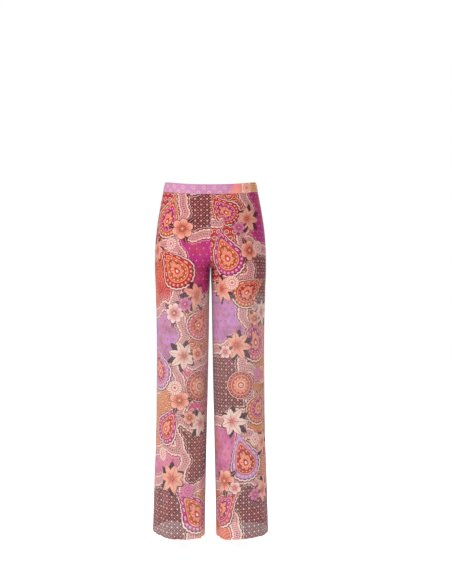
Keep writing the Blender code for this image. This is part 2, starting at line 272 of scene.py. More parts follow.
def innerEdge(face, drop, inset, seam):
    # where the inner edge is, and how much of the inner quarter is there: all of it below the crotch
    crotch = cut["crotch"] - inset
    row = sectionAt(max(drop, crotch))
    endY = row[4] + faceSign[face] * cut["seamGap"] / 2
    if drop < crotch:
        start = cut["valleyStart"][face]
        return seam / 2, endY, max(0.0, (drop - start) / (crotch - start))
    standsOff = max(row[3], cut["seamGap"] / 2)
    left = max(0.0, 1 - (drop - crotch) / inset) if inset > 0 else 0.0
    return standsOff + inset * math.sqrt(1 - left * left), endY, 1.0


def columnTurns(columns):
    return np.append(np.linspace(0, math.pi / 2 - cut["edgeTurn"], columns // 2), math.pi / 2)


def quarter(turn):
    power = 2 / cut["roundness"]
    return np.sin(turn) ** power, np.clip(np.cos(turn), 0, 1) ** power


def sectionLine(face, drop, inset, seam, columns):
    # a level cut through a panel, from the side seam round to its inner edge
    row = sectionAt(drop)
    sign = faceSign[face]
    peakX, peakY = (row[5], row[6]) if face == "front" else (row[7], row[8])
    peakY -= sign * inset
    sideY = row[2] + sign * cut["seamGap"] / 2
    turns = columnTurns(columns)
    reach, height = quarter(turns[::-1])
    outerX = peakX + (row[1] - inset - peakX) * reach
    outerY = sideY + (peakY - sideY) * height
    edgeX, endY, share = innerEdge(face, drop, inset, seam)
    reach, height = quarter(turns[1:])
    innerX = peakX - (peakX - edgeX) * reach
    n = cut["roundness"]
    innerY = endY + (peakY - endY) * np.clip(1 - (share * reach) ** n, 0, 1) ** (1 / n)
    return np.stack((np.append(outerX, innerX), np.append(outerY, innerY)), axis=1)


def foldHeight(face, leg, share, arc, drop):
    height = np.zeros_like(share)
    for seat, drift, width, tall, start, full in flutes[face, leg]:
        grown = smoothStep(start, full, drop)
        height += tall * grown * np.exp(-(((share - seat - drift * grown) / width) ** 2))
    for seatTop, seatBottom, top, bottom, width, deep in creases[face, leg]:
        along = (drop - top) / (bottom - top)
        if 0 < along < 1:
            seat = seatTop + (seatBottom - seatTop) * along
            fades = math.sin(math.pi * along) ** cut["creaseFade"]
            if bottom > cut["sideLength"]:
                fades = smoothStep(0, cut["creaseGrown"], along)  # runs out through the hem
            spread = width * cut["creaseSpread"] * (0.75 + 0.5 * along)
            height += cut["creaseDepth"] * deep * fades * np.exp(-(((share - seat) / spread) ** 2))
    # slight unevenness all over, longer down the cloth than across it
    phase = cut["rippleShift"][face] + legSign[leg]
    for tall, *waves in cut["ripples"]:
        wave = [np.sin(arc * across + drop * down + phase * shift) for across, down, shift in waves]
        height += tall * smoothStep(*cut["rippleGrows"], drop) * wave[0] * wave[1]
    fromSeam = np.minimum(share, 1 - share)
    starts = smoothStep(cut["waistband"], cut["grooveFull"], drop)
    groove = cut["seamGroove"] * starts * np.exp(-((fromSeam / cut["grooveWidth"]) ** 2))
    return height * np.clip(fromSeam / cut["seamHold"], 0, 1) - groove


def hung(drop, line):
    # a section's points set at their height, with the dip of the front waist and of the inner hem
    row = sectionAt(drop)
    forward = np.clip((row[2] - line[:, 1]) / (row[2] - row[6]), 0, None)
    dip = cut["frontDip"] * forward**2 * (1 - smoothStep(cut["waistband"], cut["frontDipEnds"], drop))
    inward = (row[1] - line[:, 0]) / (row[1] - row[3])
    dip = dip + cut["innerHemDip"] * inward * smoothStep(cut["crotch"], cut["sideLength"], drop)
    return np.column_stack((line, -drop - dip))


def panelRow(face, leg, drop, columns, inset=0.0, seam=None, ease=None):
    line = sectionLine(face, drop, inset, cut["seamGap"] if seam is None else seam, columns)
    tangent = np.gradient(line, axis=0)
    tangent /= np.linalg.norm(tangent, axis=1)[:, None]
    outward = np.stack((tangent[:, 1], -tangent[:, 0]), axis=1) * faceSign[face]
    outward[0] = (1, 0)
    outward[-1] = (0, faceSign[face])
    turnShare = columnTurns(columns) / math.pi
    share = np.append((0.5 - turnShare)[::-1], (0.5 + turnShare)[1:])
    arc = lengthsAlong(line)
    moved = foldHeight(face, leg, share, arc, drop)
    if ease is not None:
        moved = moved + ease(face, line[:, 0], drop)
    return hung(drop, line + outward * moved[:, None]), share


def rowDrops(bottom, step, inset=0.0):
    # row heights, close together where the centre seam turns under the crotch
    crotch = cut["crotch"] - inset
    start = cut["valleyStart"]["back"]
    top = cut["waistband"] + cut["bandGap"]
    above = np.linspace(top, start, int((start - top) / step) + 1)[:-1]
    turns = np.linspace(0, math.pi / 2, int((crotch - start) / step * cut["crotchRows"]) + 1)
    curved = start + (crotch - start) * np.sin(turns)
    if inset > 0:
        saddle = crotch + inset * (1 - np.cos(turns[2::3]))
        curved = np.append(curved, saddle)
    rows = int((bottom - curved[-1]) / step)
    leg = np.linspace(curved[-1], bottom, rows + 1)[1:]
    return np.concatenate((above, curved, leg))


legMiddle = {"front": 0.079, "back": 0.086}


def onItsSide(leg, rows, flat):
    rows, flat = np.array(rows), np.array(flat)
    rows[..., 0] *= legSign[leg]
    flat[..., 0] *= legSign[leg]
    return rows, flat


def panelPoints(face, leg, drops, columns, inset=0.0, ease=None):
    # a whole panel's points, and where each lies on the flat cloth: across from the middle, and down
    points, flat = [], []
    for drop in drops:
        row, _ = panelRow(face, leg, drop, columns, inset, ease=ease)
        length = lengthsAlong(row[:, :2])
        middle = np.interp(-legMiddle[face], -row[:, 0], length)
        across = legMiddle[face] + middle - length
        points.append(row)
        flat.append(np.column_stack((across, np.full(len(row), drop))))
    return onItsSide(leg, points, flat)


def layGrid(name, points, flat, inOrder):
    # a primitive grid laid on rows of points, with the flat cloth's metres as its UV map
    if not inOrder:
        points, flat = points[:, ::-1], flat[:, ::-1]  # so that the grid faces out
    down, across = points.shape[0] - 1, points.shape[1] - 1
    deselectAll()
    bpy.ops.mesh.primitive_grid_add(x_subdivisions=across, y_subdivisions=down, size=2)
    piece = bpy.context.object
    piece.name = piece.data.name = name
    mesh = piece.data
    spots = np.empty(len(mesh.vertices) * 3)
    mesh.vertices.foreach_get("co", spots)
    spots = spots.reshape(-1, 3)
    column = np.rint((spots[:, 0] + 1) / 2 * across).astype(int)
    row = np.rint((1 - spots[:, 1]) / 2 * down).astype(int)
    mesh.vertices.foreach_set("co", points[row, column].ravel())
    corners = np.empty(len(mesh.loops), dtype=int)
    mesh.loops.foreach_get("vertex_index", corners)
    mesh.uv_layers[0].name = "flatCloth"
    mesh.uv_layers["flatCloth"].data.foreach_set("uv", flat[row, column][corners, :2].ravel())
    mesh.shade_smooth()
    mesh.update()
    return piece, flat[row, column]


def thicken(piece, thickness):
    wall = piece.modifiers.new("wall", "SOLIDIFY")
    wall.thickness = thickness
    wall.offset = -1
    bpy.context.view_layer.objects.active = piece
    bpy.ops.object.modifier_apply(modifier=wall.name)


def meshFrom(name, vertices, faces, material):
    mesh = bpy.data.meshes.new(name)
    mesh.from_pydata(vertices, [], faces)
    mesh.shade_smooth()
    mesh.materials.append(material)
    piece = bpy.data.objects.new(name, mesh)
    bpy.context.scene.collection.objects.link(piece)
    return piece


def turnOut(piece, merge=None, flatAngle=None):
    # merges and dissolves a mesh's spare points if asked, and turns its faces outwards
    deselectAll()
    piece.select_set(True)
    bpy.context.view_layer.objects.active = piece
    bpy.ops.object.mode_set(mode="EDIT")
    bpy.ops.mesh.select_all(action="SELECT")
    if merge:
        bpy.ops.mesh.remove_doubles(threshold=merge)
        bpy.ops.mesh.dissolve_limited(angle_limit=math.radians(flatAngle))
    bpy.ops.mesh.normals_make_consistent(inside=False)
    bpy.ops.object.mode_set(mode="OBJECT")


def facesOut(face, leg):
    return faceSign[face] * legSign[leg] > 0


# the printed design: patchwork blocks, ribbons between them, and motifs on top

def ink(red, green, blue):
    # a colour as it looks, 0 to 255, made linear
    shares = np.array((red, green, blue)) / 255
    linear = np.where(shares < 0.04045, shares / 12.92, ((shares + 0.055) / 1.055) ** 2.4)
    return (*(float(part) for part in linear), 1.0)


def shaded(colour, share):
    return tuple(part * share for part in colour[:3]) + (1.0,)


inks = {
    "orange": ink(222, 108, 50),
    "ochre": ink(216, 150, 66),
    "coral": ink(206, 44, 36),
    "rose": ink(224, 92, 124),
    "magenta": ink(196, 40, 138),
    "lilac": ink(206, 142, 206),
    "plum": ink(56, 26, 46),
    "peach": ink(244, 168, 132),
    "petal": ink(252, 190, 164),
    "pink": ink(224, 140, 180),
    "lace": ink(250, 224, 208),
    "brown": ink(70, 24, 26),
    "olive": ink(168, 148, 62),
}

# The design of each panel: across runs from the garment's middle outwards, drop down from the waist.
# Blocks: from, to, top, bottom, ground, accent, motif
blocks = {
    ("front", "right"): [
        (-1, 0.090, 0, 0.150, "plum", "coral", "tiles"),
        (0.090, 1, 0, 0.205, "coral", "orange", "rings"),
        (-1, 0.090, 0.150, 0.345, "magenta", "pink", "sprigs"),
        (0.090, 1, 0.205, 0.385, "orange", "coral", "agate"),
        (-1, 0.090, 0.345, 0.520, "ochre", "coral", "scales"),
        (0.090, 1, 0.385, 0.610, "lilac", "olive", "sprigs"),
        (-1, 0.090, 0.520, 0.700, "rose", "pink", "trellis"),
        (0.090, 1, 0.610, 0.790, "ochre", "orange", "scales"),
        (-1, 0.090, 0.700, 0.880, "brown", "coral", "tiles"),
        (0.090, 1, 0.790, 0.880, "pink", "coral", "sprigs"),
        (-1, 0.060, 0.880, 2, "ochre", "coral", "rings"),
        (0.060, 1, 0.880, 2, "plum", "coral", "tiles"),
    ],
    ("front", "left"): [
        (-1, 0.105, 0, 0.110, "orange", "coral", "scales"),
        (0.105, 1, 0, 0.190, "magenta", "pink", "sprigs"),
        (-1, 0.105, 0.110, 0.300, "coral", "orange", "rings"),
        (0.105, 1, 0.190, 0.370, "plum", "coral", "tiles"),
        (-1, 0.105, 0.300, 0.480, "lilac", "olive", "sprigs"),
        (0.105, 1, 0.370, 0.560, "ochre", "coral", "agate"),
        (-1, 0.105, 0.480, 0.690, "plum", "coral", "tiles"),
        (0.105, 1, 0.560, 0.750, "ochre", "magenta", "botehs"),
        (-1, 0.105, 0.690, 0.880, "pink", "magenta", "sprigs"),
        (0.105, 1, 0.750, 0.880, "ochre", "coral", "scales"),
        (-1, 0.060, 0.880, 2, "orange", "coral", "agate"),
        (0.060, 1, 0.880, 2, "plum", "coral", "tiles"),
    ],
    ("back", "right"): [
        (-1, 0.100, 0, 0.170, "magenta", "pink", "sprigs"),
        (0.100, 1, 0, 0.150, "orange", "coral", "agate"),
        (0.100, 1, 0.150, 0.330, "plum", "coral", "tiles"),
        (-1, 0.100, 0.170, 0.370, "coral", "orange", "rings"),
        (-1, 0.100, 0.370, 0.560, "peach", "magenta", "botehs"),
        (0.100, 1, 0.330, 0.540, "lilac", "olive", "sprigs"),
        (-1, 0.100, 0.560, 0.760, "plum", "coral", "tiles"),
        (0.100, 1, 0.540, 0.720, "rose", "pink", "rosettes"),
        (0.100, 1, 0.720, 0.910, "ochre", "coral", "agate"),
        (-1, 0.100, 0.760, 2, "pink", "magenta", "sprigs"),
        (0.100, 1, 0.910, 2, "coral", "orange", "rings"),
    ],
    ("back", "left"): [
        (-1, 0.095, 0, 0.150, "orange", "coral", "scales"),
        (0.095, 1, 0, 0.190, "plum", "coral", "tiles"),
        (-1, 0.095, 0.150, 0.340, "magenta", "pink", "sprigs"),
        (0.095, 1, 0.190, 0.380, "coral", "orange", "rings"),
        (-1, 0.095, 0.340, 0.530, "orange", "coral", "agate"),
        (0.095, 1, 0.380, 0.570, "lilac", "olive", "sprigs"),
        (-1, 0.095, 0.530, 0.710, "rose", "pink", "trellis"),
        (0.095, 1, 0.570, 0.780, "plum", "coral", "tiles"),
        (-1, 0.095, 0.710, 0.900, "ochre", "coral", "scales"),
        (0.095, 1, 0.780, 2, "pink", "coral", "sprigs"),
        (-1, 0.095, 0.900, 2, "plum", "coral", "tiles"),
    ],
}

# Rosettes and paisleys: across, drop, size, turn, shape, ground, accent, petals
spots = {
    ("front", "right"): [
        (0.136, 0.118, 0.048, 0.6, "paisley", "magenta", "orange", 6),
        (0.096, 0.268, 0.050, -0.5, "paisley", "orange", "coral", 8),
        (0.028, 0.424, 0.040, 0.8, "paisley", "coral", "rose", 6),
        (0.170, 0.560, 0.052, -0.3, "paisley", "magenta", "lilac", 8),
        (0.026, 0.600, 0.046, 0.1, "rosette", "orange", "coral", 10),
        (0.140, 0.726, 0.044, 0.8, "paisley", "coral", "magenta", 6),
        (0.034, 0.972, 0.052, -0.5, "paisley", "orange", "magenta", 8),
    ],
    ("front", "left"): [
        (0.046, 0.088, 0.040, 0.9, "paisley", "magenta", "coral", 6),
        (0.050, 0.232, 0.050, 0.5, "paisley", "orange", "magenta", 8),
        (0.104, 0.330, 0.042, -0.8, "paisley", "coral", "orange", 6),
        (0.140, 0.476, 0.052, 0.3, "paisley", "magenta", "rose", 8),
        (0.088, 0.596, 0.040, 0.2, "rosette", "orange", "coral", 12),
        (0.150, 0.668, 0.044, -0.5, "paisley", "magenta", "orange", 8),
        (0.104, 0.822, 0.050, 0.5, "paisley", "coral", "lilac", 8),
        (0.020, 0.960, 0.046, -0.6, "paisley", "magenta", "rose", 6),
    ],
    ("back", "right"): [
        (0.060, 0.150, 0.056, 0.6, "paisley", "orange", "coral", 8),
        (0.170, 0.200, 0.042, 0.2, "rosette", "magenta", "rose", 12),
        (0.060, 0.350, 0.046, 0.0, "rosette", "orange", "magenta", 16),
        (0.160, 0.420, 0.054, -0.6, "paisley", "magenta", "lilac", 8),
        (0.040, 0.520, 0.040, 0.7, "paisley", "coral", "rose", 6),
        (0.150, 0.640, 0.050, 0.5, "paisley", "orange", "coral", 8),
        (0.050, 0.760, 0.042, 0.1, "rosette", "magenta", "orange", 10),
        (0.140, 0.880, 0.056, -0.5, "paisley", "coral", "magenta", 8),
    ],
    ("back", "left"): [
        (0.140, 0.120, 0.050, 0.7, "paisley", "magenta", "coral", 8),
        (0.050, 0.190, 0.042, 0.5, "rosette", "coral", "orange", 12),
        (0.150, 0.320, 0.052, -0.6, "paisley", "orange", "rose", 8),
        (0.050, 0.400, 0.048, 0.6, "paisley", "magenta", "lilac", 6),
        (0.160, 0.530, 0.044, 0.2, "rosette", "orange", "magenta", 16),
        (0.060, 0.640, 0.056, 0.5, "paisley", "coral", "orange", 8),
        (0.150, 0.780, 0.050, -0.4, "paisley", "magenta", "rose", 8),
        (0.050, 0.900, 0.046, 0.6, "paisley", "orange", "coral", 6),
    ],
}

# Flowers and leaf sprays, and the smaller ones on top of them:
# across, drop, radius, turn, shape, ground, accent, petals
blooms = {
    ("front", "right"): [
        (0.082, 0.140, 0.036, 0.2, "blossom", "petal", "coral", 6),
        (0.182, 0.205, 0.038, 0.9, "spray", "petal", "coral", 7),
        (0.036, 0.338, 0.040, 0.0, "spray", "petal", "coral", 7),
        (0.106, 0.388, 0.032, 0.6, "blossom", "lace", "rose", 8),
        (0.076, 0.512, 0.040, 0.7, "spray", "lace", "coral", 7),
        (0.090, 0.640, 0.032, 0.9, "blossom", "petal", "coral", 6),
        (0.022, 0.706, 0.036, 0.1, "spray", "lace", "rose", 7),
        (0.112, 0.866, 0.042, 0.5, "spray", "petal", "coral", 7),
    ],
    ("front", "left"): [
        (0.108, 0.108, 0.038, 0.3, "spray", "petal", "coral", 7),
        (0.116, 0.206, 0.032, 0.0, "blossom", "petal", "coral", 6),
        (0.026, 0.318, 0.038, 0.5, "spray", "petal", "coral", 5),
        (0.170, 0.384, 0.038, 0.1, "spray", "lace", "coral", 5),
        (0.074, 0.480, 0.040, 0.3, "spray", "petal", "coral", 7),
        (0.180, 0.570, 0.032, 0.6, "blossom", "petal", "coral", 6),
        (0.060, 0.700, 0.040, 0.4, "spray", "lace", "rose", 7),
        (0.170, 0.766, 0.036, 0.0, "spray", "petal", "coral", 7),
        (0.036, 0.872, 0.036, 0.6, "blossom", "petal", "coral", 6),
        (0.166, 0.906, 0.036, 0.7, "spray", "petal", "coral", 7),
    ],
    ("back", "right"): [
        (0.130, 0.090, 0.036, 0.2, "spray", "petal", "coral", 7),
        (0.110, 0.250, 0.036, 0.7, "spray", "lace", "rose", 7),
        (0.020, 0.270, 0.032, 0.3, "blossom", "petal", "coral", 6),
        (0.180, 0.310, 0.034, 0.0, "spray", "petal", "coral", 5),
        (0.100, 0.460, 0.038, 0.4, "spray", "lace", "coral", 7),
        (0.170, 0.540, 0.030, 1.0, "blossom", "petal", "coral", 8),
        (0.080, 0.640, 0.036, 0.5, "spray", "petal", "coral", 7),
        (0.130, 0.760, 0.034, 0.1, "blossom", "lace", "rose", 6),
        (0.050, 0.870, 0.038, 0.6, "spray", "petal", "coral", 7),
        (0.130, 0.990, 0.032, 0.6, "blossom", "petal", "coral", 6),
    ],
    ("back", "left"): [
        (0.060, 0.080, 0.034, 0.6, "blossom", "petal", "coral", 6),
        (0.130, 0.220, 0.038, 0.1, "spray", "petal", "coral", 7),
        (0.040, 0.290, 0.034, 0.9, "spray", "lace", "rose", 5),
        (0.120, 0.420, 0.036, 0.3, "spray", "petal", "coral", 7),
        (0.030, 0.500, 0.030, 0.3, "blossom", "lace", "magenta", 5),
        (0.110, 0.580, 0.034, 0.8, "spray", "lace", "rose", 7),
        (0.120, 0.690, 0.034, 0.2, "blossom", "petal", "coral", 8),
        (0.040, 0.760, 0.038, 0.5, "spray", "petal", "coral", 7),
        (0.130, 0.880, 0.036, 0.5, "spray", "lace", "rose", 7),
        (0.060, 0.990, 0.032, 0.5, "blossom", "petal", "coral", 6),
    ],
}
buds = {
    ("front", "right"): [
        (0.118, 0.186, 0.020, 0.2, "daisy", "lace", "magenta", 16),
        (0.074, 0.362, 0.022, 0.2, "blossom", "pink", "magenta", 6),
        (0.034, 0.506, 0.021, 0.0, "blossom", "petal", "coral", 5),
        (0.104, 0.604, 0.023, 0.4, "daisy", "lace", "coral", 18),
        (0.060, 0.690, 0.021, 0.2, "blossom", "petal", "coral", 6),
        (0.158, 0.800, 0.023, 0.3, "daisy", "lace", "coral", 18),
        (0.066, 0.900, 0.021, 0.4, "daisy", "pink", "magenta", 16),
    ],
    ("front", "left"): [
        (0.082, 0.136, 0.021, 0.4, "blossom", "pink", "magenta", 6),
        (0.148, 0.196, 0.021, 0.1, "daisy", "lace", "magenta", 18),
        (0.062, 0.300, 0.022, 0.2, "daisy", "lace", "coral", 18),
        (0.134, 0.404, 0.021, 0.0, "blossom", "petal", "coral", 6),
        (0.040, 0.500, 0.021, 0.5, "blossom", "lace", "rose", 6),
        (0.152, 0.566, 0.022, 0.3, "daisy", "pink", "magenta", 18),
        (0.136, 0.756, 0.021, 0.8, "daisy", "lace", "coral", 16),
        (0.070, 0.892, 0.020, 0.3, "blossom", "lace", "rose", 5),
        (0.134, 0.916, 0.020, 0.3, "blossom", "pink", "magenta", 6),
    ],
    ("back", "right"): [
        (0.164, 0.110, 0.021, 0.2, "daisy", "lace", "coral", 16),
        (0.080, 0.226, 0.022, 0.2, "blossom", "pink", "magenta", 6),
        (0.130, 0.480, 0.022, 0.5, "daisy", "pink", "magenta", 18),
        (0.060, 0.610, 0.021, 0.1, "blossom", "lace", "rose", 6),
        (0.090, 0.890, 0.022, 0.4, "daisy", "lace", "coral", 16),
    ],
    ("back", "left"): [
        (0.096, 0.210, 0.021, 0.2, "daisy", "lace", "coral", 16),
        (0.080, 0.300, 0.021, 0.6, "blossom", "petal", "coral", 6),
        (0.146, 0.600, 0.022, 0.1, "daisy", "pink", "magenta", 18),
        (0.080, 0.780, 0.022, 0.3, "blossom", "lace", "rose", 6),
        (0.100, 0.930, 0.021, 0.5, "daisy", "lace", "coral", 16),
    ],
}

motifs = ("tiles", "rings", "scales", "sprigs", "botehs", "agate", "rosettes", "trellis")
printMake = {
    "sway": 0.0150,
    "swayRate": 34.0,
    "swirl": 0.0040,
    "swirlRate": 105.0,
    "phase": {"front": 0.3, "back": 1.9},
    "legPhase": 1.3,
    "ribbon": 0.0125,
    "ribbonScallop": 0.0120,
    "paisleyCurl": 0.55,
    "paisleyLength": 1.9,
    "botehSize": 0.0108,
    "reach": {"rosette": 1.12, "paisley": 1.20},
    "flowerReach": 1.50,
    "shapes": {"rosette": 0, "paisley": 1, "blossom": 0, "daisy": 1, "spray": 2},
}


def writeAttribute(mesh, name, kind, values):
    layer = mesh.attributes.new(name, kind, "POINT")
    field = {"FLOAT": "value", "FLOAT_VECTOR": "vector", "FLOAT_COLOR": "color"}[kind]
    layer.data.foreach_set(field, np.asarray(values, np.float32).ravel())


def paisleyRoom(x, y):
    # how far out a point is from a paisley whose round end has radius 1 and whose tip curls over
    up = np.maximum(y, 0) / printMake["paisleyLength"]
    bent = (x - up * up * printMake["paisleyCurl"]) / np.maximum(1 - 0.7 * up, 0.3)
    return np.hypot(bent, 0.85 * up + np.minimum(y, 0))


def laySpots(mesh, name, across, drop, rows):
    # places in the turned and scaled space of the topmost spot there, and how far they are inside it
    local = np.full((len(across), 3), -1.0)
    kind, petals = np.zeros(len(across)), np.zeros(len(across))
    colours = np.zeros((2, len(across), 4))
    for row in rows:
        x, y, size, turn, shape = row[:5]
        right, down = (across - x) / size, (drop - y) / size
        placeX = right * math.cos(turn) - down * math.sin(turn)
        placeY = -(right * math.sin(turn) + down * math.cos(turn))
        away = paisleyRoom(placeX, placeY) if shape == "paisley" else np.hypot(placeX, placeY)
        near = printMake["reach"].get(shape, printMake["flowerReach"]) - away
        inside = near > 0
        local[inside] = np.column_stack((placeX, placeY, near))[inside]
        kind[inside] = printMake["shapes"][shape]
        petals[inside] = row[7]
        for index, colour in enumerate(row[5:7]):
            colours[index][inside] = inks[colour]
    writeAttribute(mesh, name, "FLOAT_VECTOR", local)
    writeAttribute(mesh, name + "Kind", "FLOAT", kind)
    writeAttribute(mesh, name + "Petals", "FLOAT", petals)
    writeAttribute(mesh, name + "Ground", "FLOAT_COLOR", colours[0])
    writeAttribute(mesh, name + "Accent", "FLOAT_COLOR", colours[1])


def layPrint(piece, face, leg, flat):
    across, drop = flat[:, 0] * legSign[leg], flat[:, 1]
    phase = printMake["phase"][face] + printMake["legPhase"] * legSign[leg]
    sway, rate = printMake["sway"], printMake["swayRate"]
    swirl, swirlRate = printMake["swirl"], printMake["swirlRate"]
    swayX = across + sway * np.sin(drop * rate + phase) + swirl * np.sin(drop * swirlRate + phase * 2)
    swayY = drop + sway * np.sin(across * rate + phase * 3) + swirl * np.sin(across * swirlRate + phase)
    edge, along, motif = np.zeros(len(flat)), drop.copy(), np.zeros(len(flat))
    ground, accent = np.zeros((len(flat), 4)), np.zeros((len(flat), 4))
    for block in blocks[face, leg]:
        left, right, top, bottom = block[:4]
        sides = np.stack((swayX - left, right - swayX, swayY - top, bottom - swayY))
        inside = sides.min(axis=0) >= 0
        edge[inside] = sides.min(axis=0)[inside]
        along[inside] = np.where(sides.argmin(axis=0) < 2, drop, across)[inside]
        ground[inside], accent[inside] = inks[block[4]], inks[block[5]]
        motif[inside] = motifs.index(block[6])
    mesh = piece.data
    writeAttribute(mesh, "edge", "FLOAT", edge)
    writeAttribute(mesh, "along", "FLOAT", along)
    writeAttribute(mesh, "motif", "FLOAT", motif)
    writeAttribute(mesh, "ground", "FLOAT_COLOR", ground)
    writeAttribute(mesh, "accent", "FLOAT_COLOR", accent)
    for name, rows in (("spot", spots), ("bloom", blooms), ("bud", buds)):
        laySpots(mesh, name, across, drop, rows[face, leg])


# node tools: sums and colours written plainly

class wire:
    # a value in a material's nodes; a mask is 1 where it holds and 0 elsewhere
    def __init__(self, socket):
        self.socket = socket

    def __add__(self, other):
        return calc("ADD", self, other)

    def __sub__(self, other):
        return calc("SUBTRACT", self, other)

    def __rsub__(self, other):
        return calc("SUBTRACT", other, self)

    def __mul__(self, other):
        return calc("MULTIPLY", self, other)

    def __truediv__(self, other):
        return calc("DIVIDE", self, other)

    def __pow__(self, other):
        return calc("POWER", self, other)

    def __abs__(self):
        return calc("ABSOLUTE", self)

    def __lt__(self, other):
        return calc("LESS_THAN", self, other)

    def __gt__(self, other):
        return calc("GREATER_THAN", self, other)

    def __and__(self, other):
        return calc("MULTIPLY", self, other)

    def __or__(self, other):
        return calc("MAXIMUM", self, other)


def plug(value, socket):
    if isinstance(value, wire):
        socket.id_data.links.new(value.socket, socket)
    else:
        socket.default_value = value


def calc(operation, *values):
    tree = next(value.socket.id_data for value in values if isinstance(value, wire))
    node = tree.nodes.new("ShaderNodeMath")
    node.operation = operation
    for value, socket in zip(values, node.inputs):
        plug(value, socket)
    return wire(node.outputs[0])


def between(low, value, high):
    return (value > low) & (value < high)


def sineOf(value):
    return abs(calc("SINE", value))


def kept(value):
    # held from 0 to 1
    return calc("MAXIMUM", calc("MINIMUM", value, 1.0), 0.0)


def blend(share, under, over, way="MIX"):
    node = share.socket.id_data.nodes.new("ShaderNodeMix")
    node.data_type = "RGBA"
    node.blend_type = way
    plug(share, node.inputs[0])
    plug(under, node.inputs[6])
    plug(over, node.inputs[7])
    return wire(node.outputs[2])


def attribute(tree, name, output="Fac"):
    node = tree.nodes.new("ShaderNodeAttribute")
    node.attribute_name = name
    return wire(node.outputs[output])


def split(vector):
    node = vector.socket.id_data.nodes.new("ShaderNodeSeparateXYZ")
    plug(vector, node.inputs[0])
    return [wire(output) for output in node.outputs]


def flatCloth(tree):
    node = tree.nodes.new("ShaderNodeUVMap")
    node.uv_map = "flatCloth"
    place = wire(node.outputs["UV"])
    return (place, *split(place)[:2])


def objectPlace(tree):
    return wire(tree.nodes.new("ShaderNodeTexCoord").outputs["Object"])


def noise(place, scale, detail=2.0, roughness=0.5):
    node = place.socket.id_data.nodes.new("ShaderNodeTexNoise")
    node.inputs["Scale"].default_value = scale
    node.inputs["Detail"].default_value = detail
    node.inputs["Roughness"].default_value = roughness
    plug(place, node.inputs["Vector"])
    return wire(node.outputs[0])


def cells(x, y, wide, tall, stagger=0.5):
    # staggered cells of the cloth: x and y in each from -0.5 to 0.5, and whether its row is odd
    rows = y / tall
    odd = calc("FLOORED_MODULO", calc("FLOOR", rows), 2.0)
    columns = x / wide + odd * stagger
    return calc("FRACT", columns) - 0.5, calc("FRACT", rows) - 0.5, odd


def polar(x, y):
    return calc("SQRT", x * x + y * y), calc("ARCTAN2", y, x)


def petalled(radius, angle, count, depth):
    # a radius that reads smaller towards the tips of so many petals
    return radius * (1 - calc("COSINE", angle * float(count)) * depth)


def beads(radius, angle, count, at, size):
    # a ring of round beads
    off = (calc("FRACT", angle * (count / math.tau)) - 0.5) * (math.tau / count * at)
    return polar(off, radius - at)[0] < size


def paintOver(colour, there, layers):
    # each layer is where it goes and an ink's name or a colour
    for mask, shade in layers:
        colour = blend(mask & there, colour, inks[shade] if isinstance(shade, str) else shade)
    return colour


# block motifs: each gives where its accent, its pale lines and its dark lines go

# width and height of one repeat
repeats = {
    "tiles": (0.0175, 0.0175),
    "rings": (0.0230, 0.0200),
    "scales": (0.0340, 0.0170),
    "sprigs": (0.0200, 0.0175),
    "botehs": (0.0360, 0.0400),
    "rosettes": (0.0440, 0.0400),
    "trellis": (0.0340, 0.0460),
}


def drawTiles(x, y):
    inX, inY, _ = cells(x, y, *repeats["tiles"], 0.0)
    radius, angle = polar(inX, inY)
    star = petalled(radius, angle, 8, 0.18)
    slant = abs(inX) + abs(inY)
    corner, _ = polar(0.5 - abs(inX), 0.5 - abs(inY))
    pale = (star < 0.145) | between(0.485, slant, 0.510) | (corner < 0.09)
    accent = between(0.25, star, 0.32) | between(0.14, corner, 0.20)
    dark = between(0.145, star, 0.25) | between(0.36, slant, 0.45)
    return accent, pale, dark


def drawRings(x, y):
    inX, inY, _ = cells(x, y, *repeats["rings"])
    radius, angle = polar(inX, inY * 0.87)
    flower = petalled(radius, angle, 8, 0.10)
    dots, _ = polar(0.5 - abs(inX), inY)
    pale = between(0.20, flower, 0.30) | (dots < 0.075)
    accent = (flower < 0.13) | between(0.14, dots, 0.19)
    dark = between(0.30, flower, 0.37) | between(0.13, flower, 0.16)
    return accent, pale, dark


def drawScales(x, y):
    wide, tall = repeats["scales"]
    inX, inY, _ = cells(x, y, wide, tall)
    down = (inY + 0.5) * (tall / wide)
    own, angle = polar(inX, down)
    other, _ = polar(0.5 - abs(inX), down + tall / wide)
    isOwn = own < 0.5
    reach = isOwn * (own - other) + other
    level = calc("FRACT", reach * 5.0)
    pale = (level > 0.80) | (isOwn & (own < 0.07))
    accent = between(0.10, reach, 0.30) | (reach > 0.5)
    dark = between(0.66, level, 0.80) | (sineOf(angle * 9.0) < 0.12) & between(0.30, own, 0.42)
    return accent, pale, dark


def drawSprigs(x, y):
    inX, inY, _ = cells(x, y, *repeats["sprigs"])
    radius, angle = polar(inX, inY * 0.88)
    cross = petalled(radius, angle, 4, 0.28)
    accent = between(0.06, cross, 0.125)
    pale = cross < 0.035
    dark = between(0.125, cross, 0.15)
    return accent, pale, dark


def boteh(x, y):
    # the paisley's level and the angle round it
    up = calc("MAXIMUM", y, 0.0) / printMake["paisleyLength"]
    narrow = calc("MAXIMUM", 1 - up, 0.02) ** 0.8
    bent = (x - up * up * printMake["paisleyCurl"]) / narrow
    return polar(bent, up + calc("MINIMUM", y, 0.0))


def drawBotehs(x, y):
    wide, tall = repeats["botehs"]
    size = printMake["botehSize"]
    inX, inY, odd = cells(x, y, wide, tall)
    side = 1 - odd * 2
    level, angle = boteh(inX * side * (wide / size), 0.55 - inY * (tall / size))
    dots, _ = polar((0.5 - abs(inX)) * (wide / tall), inY)
    pale = between(0.80, level, 0.98) | (level < 0.20) | (dots < 0.06)
    accent = between(0.46, level, 0.80) | between(0.10, dots, 0.14)
    dark = between(0.98, level, 1.12) | between(0.40, level, 0.47) | beads(level, angle, 12, 0.63, 0.07)
    return accent, pale, dark


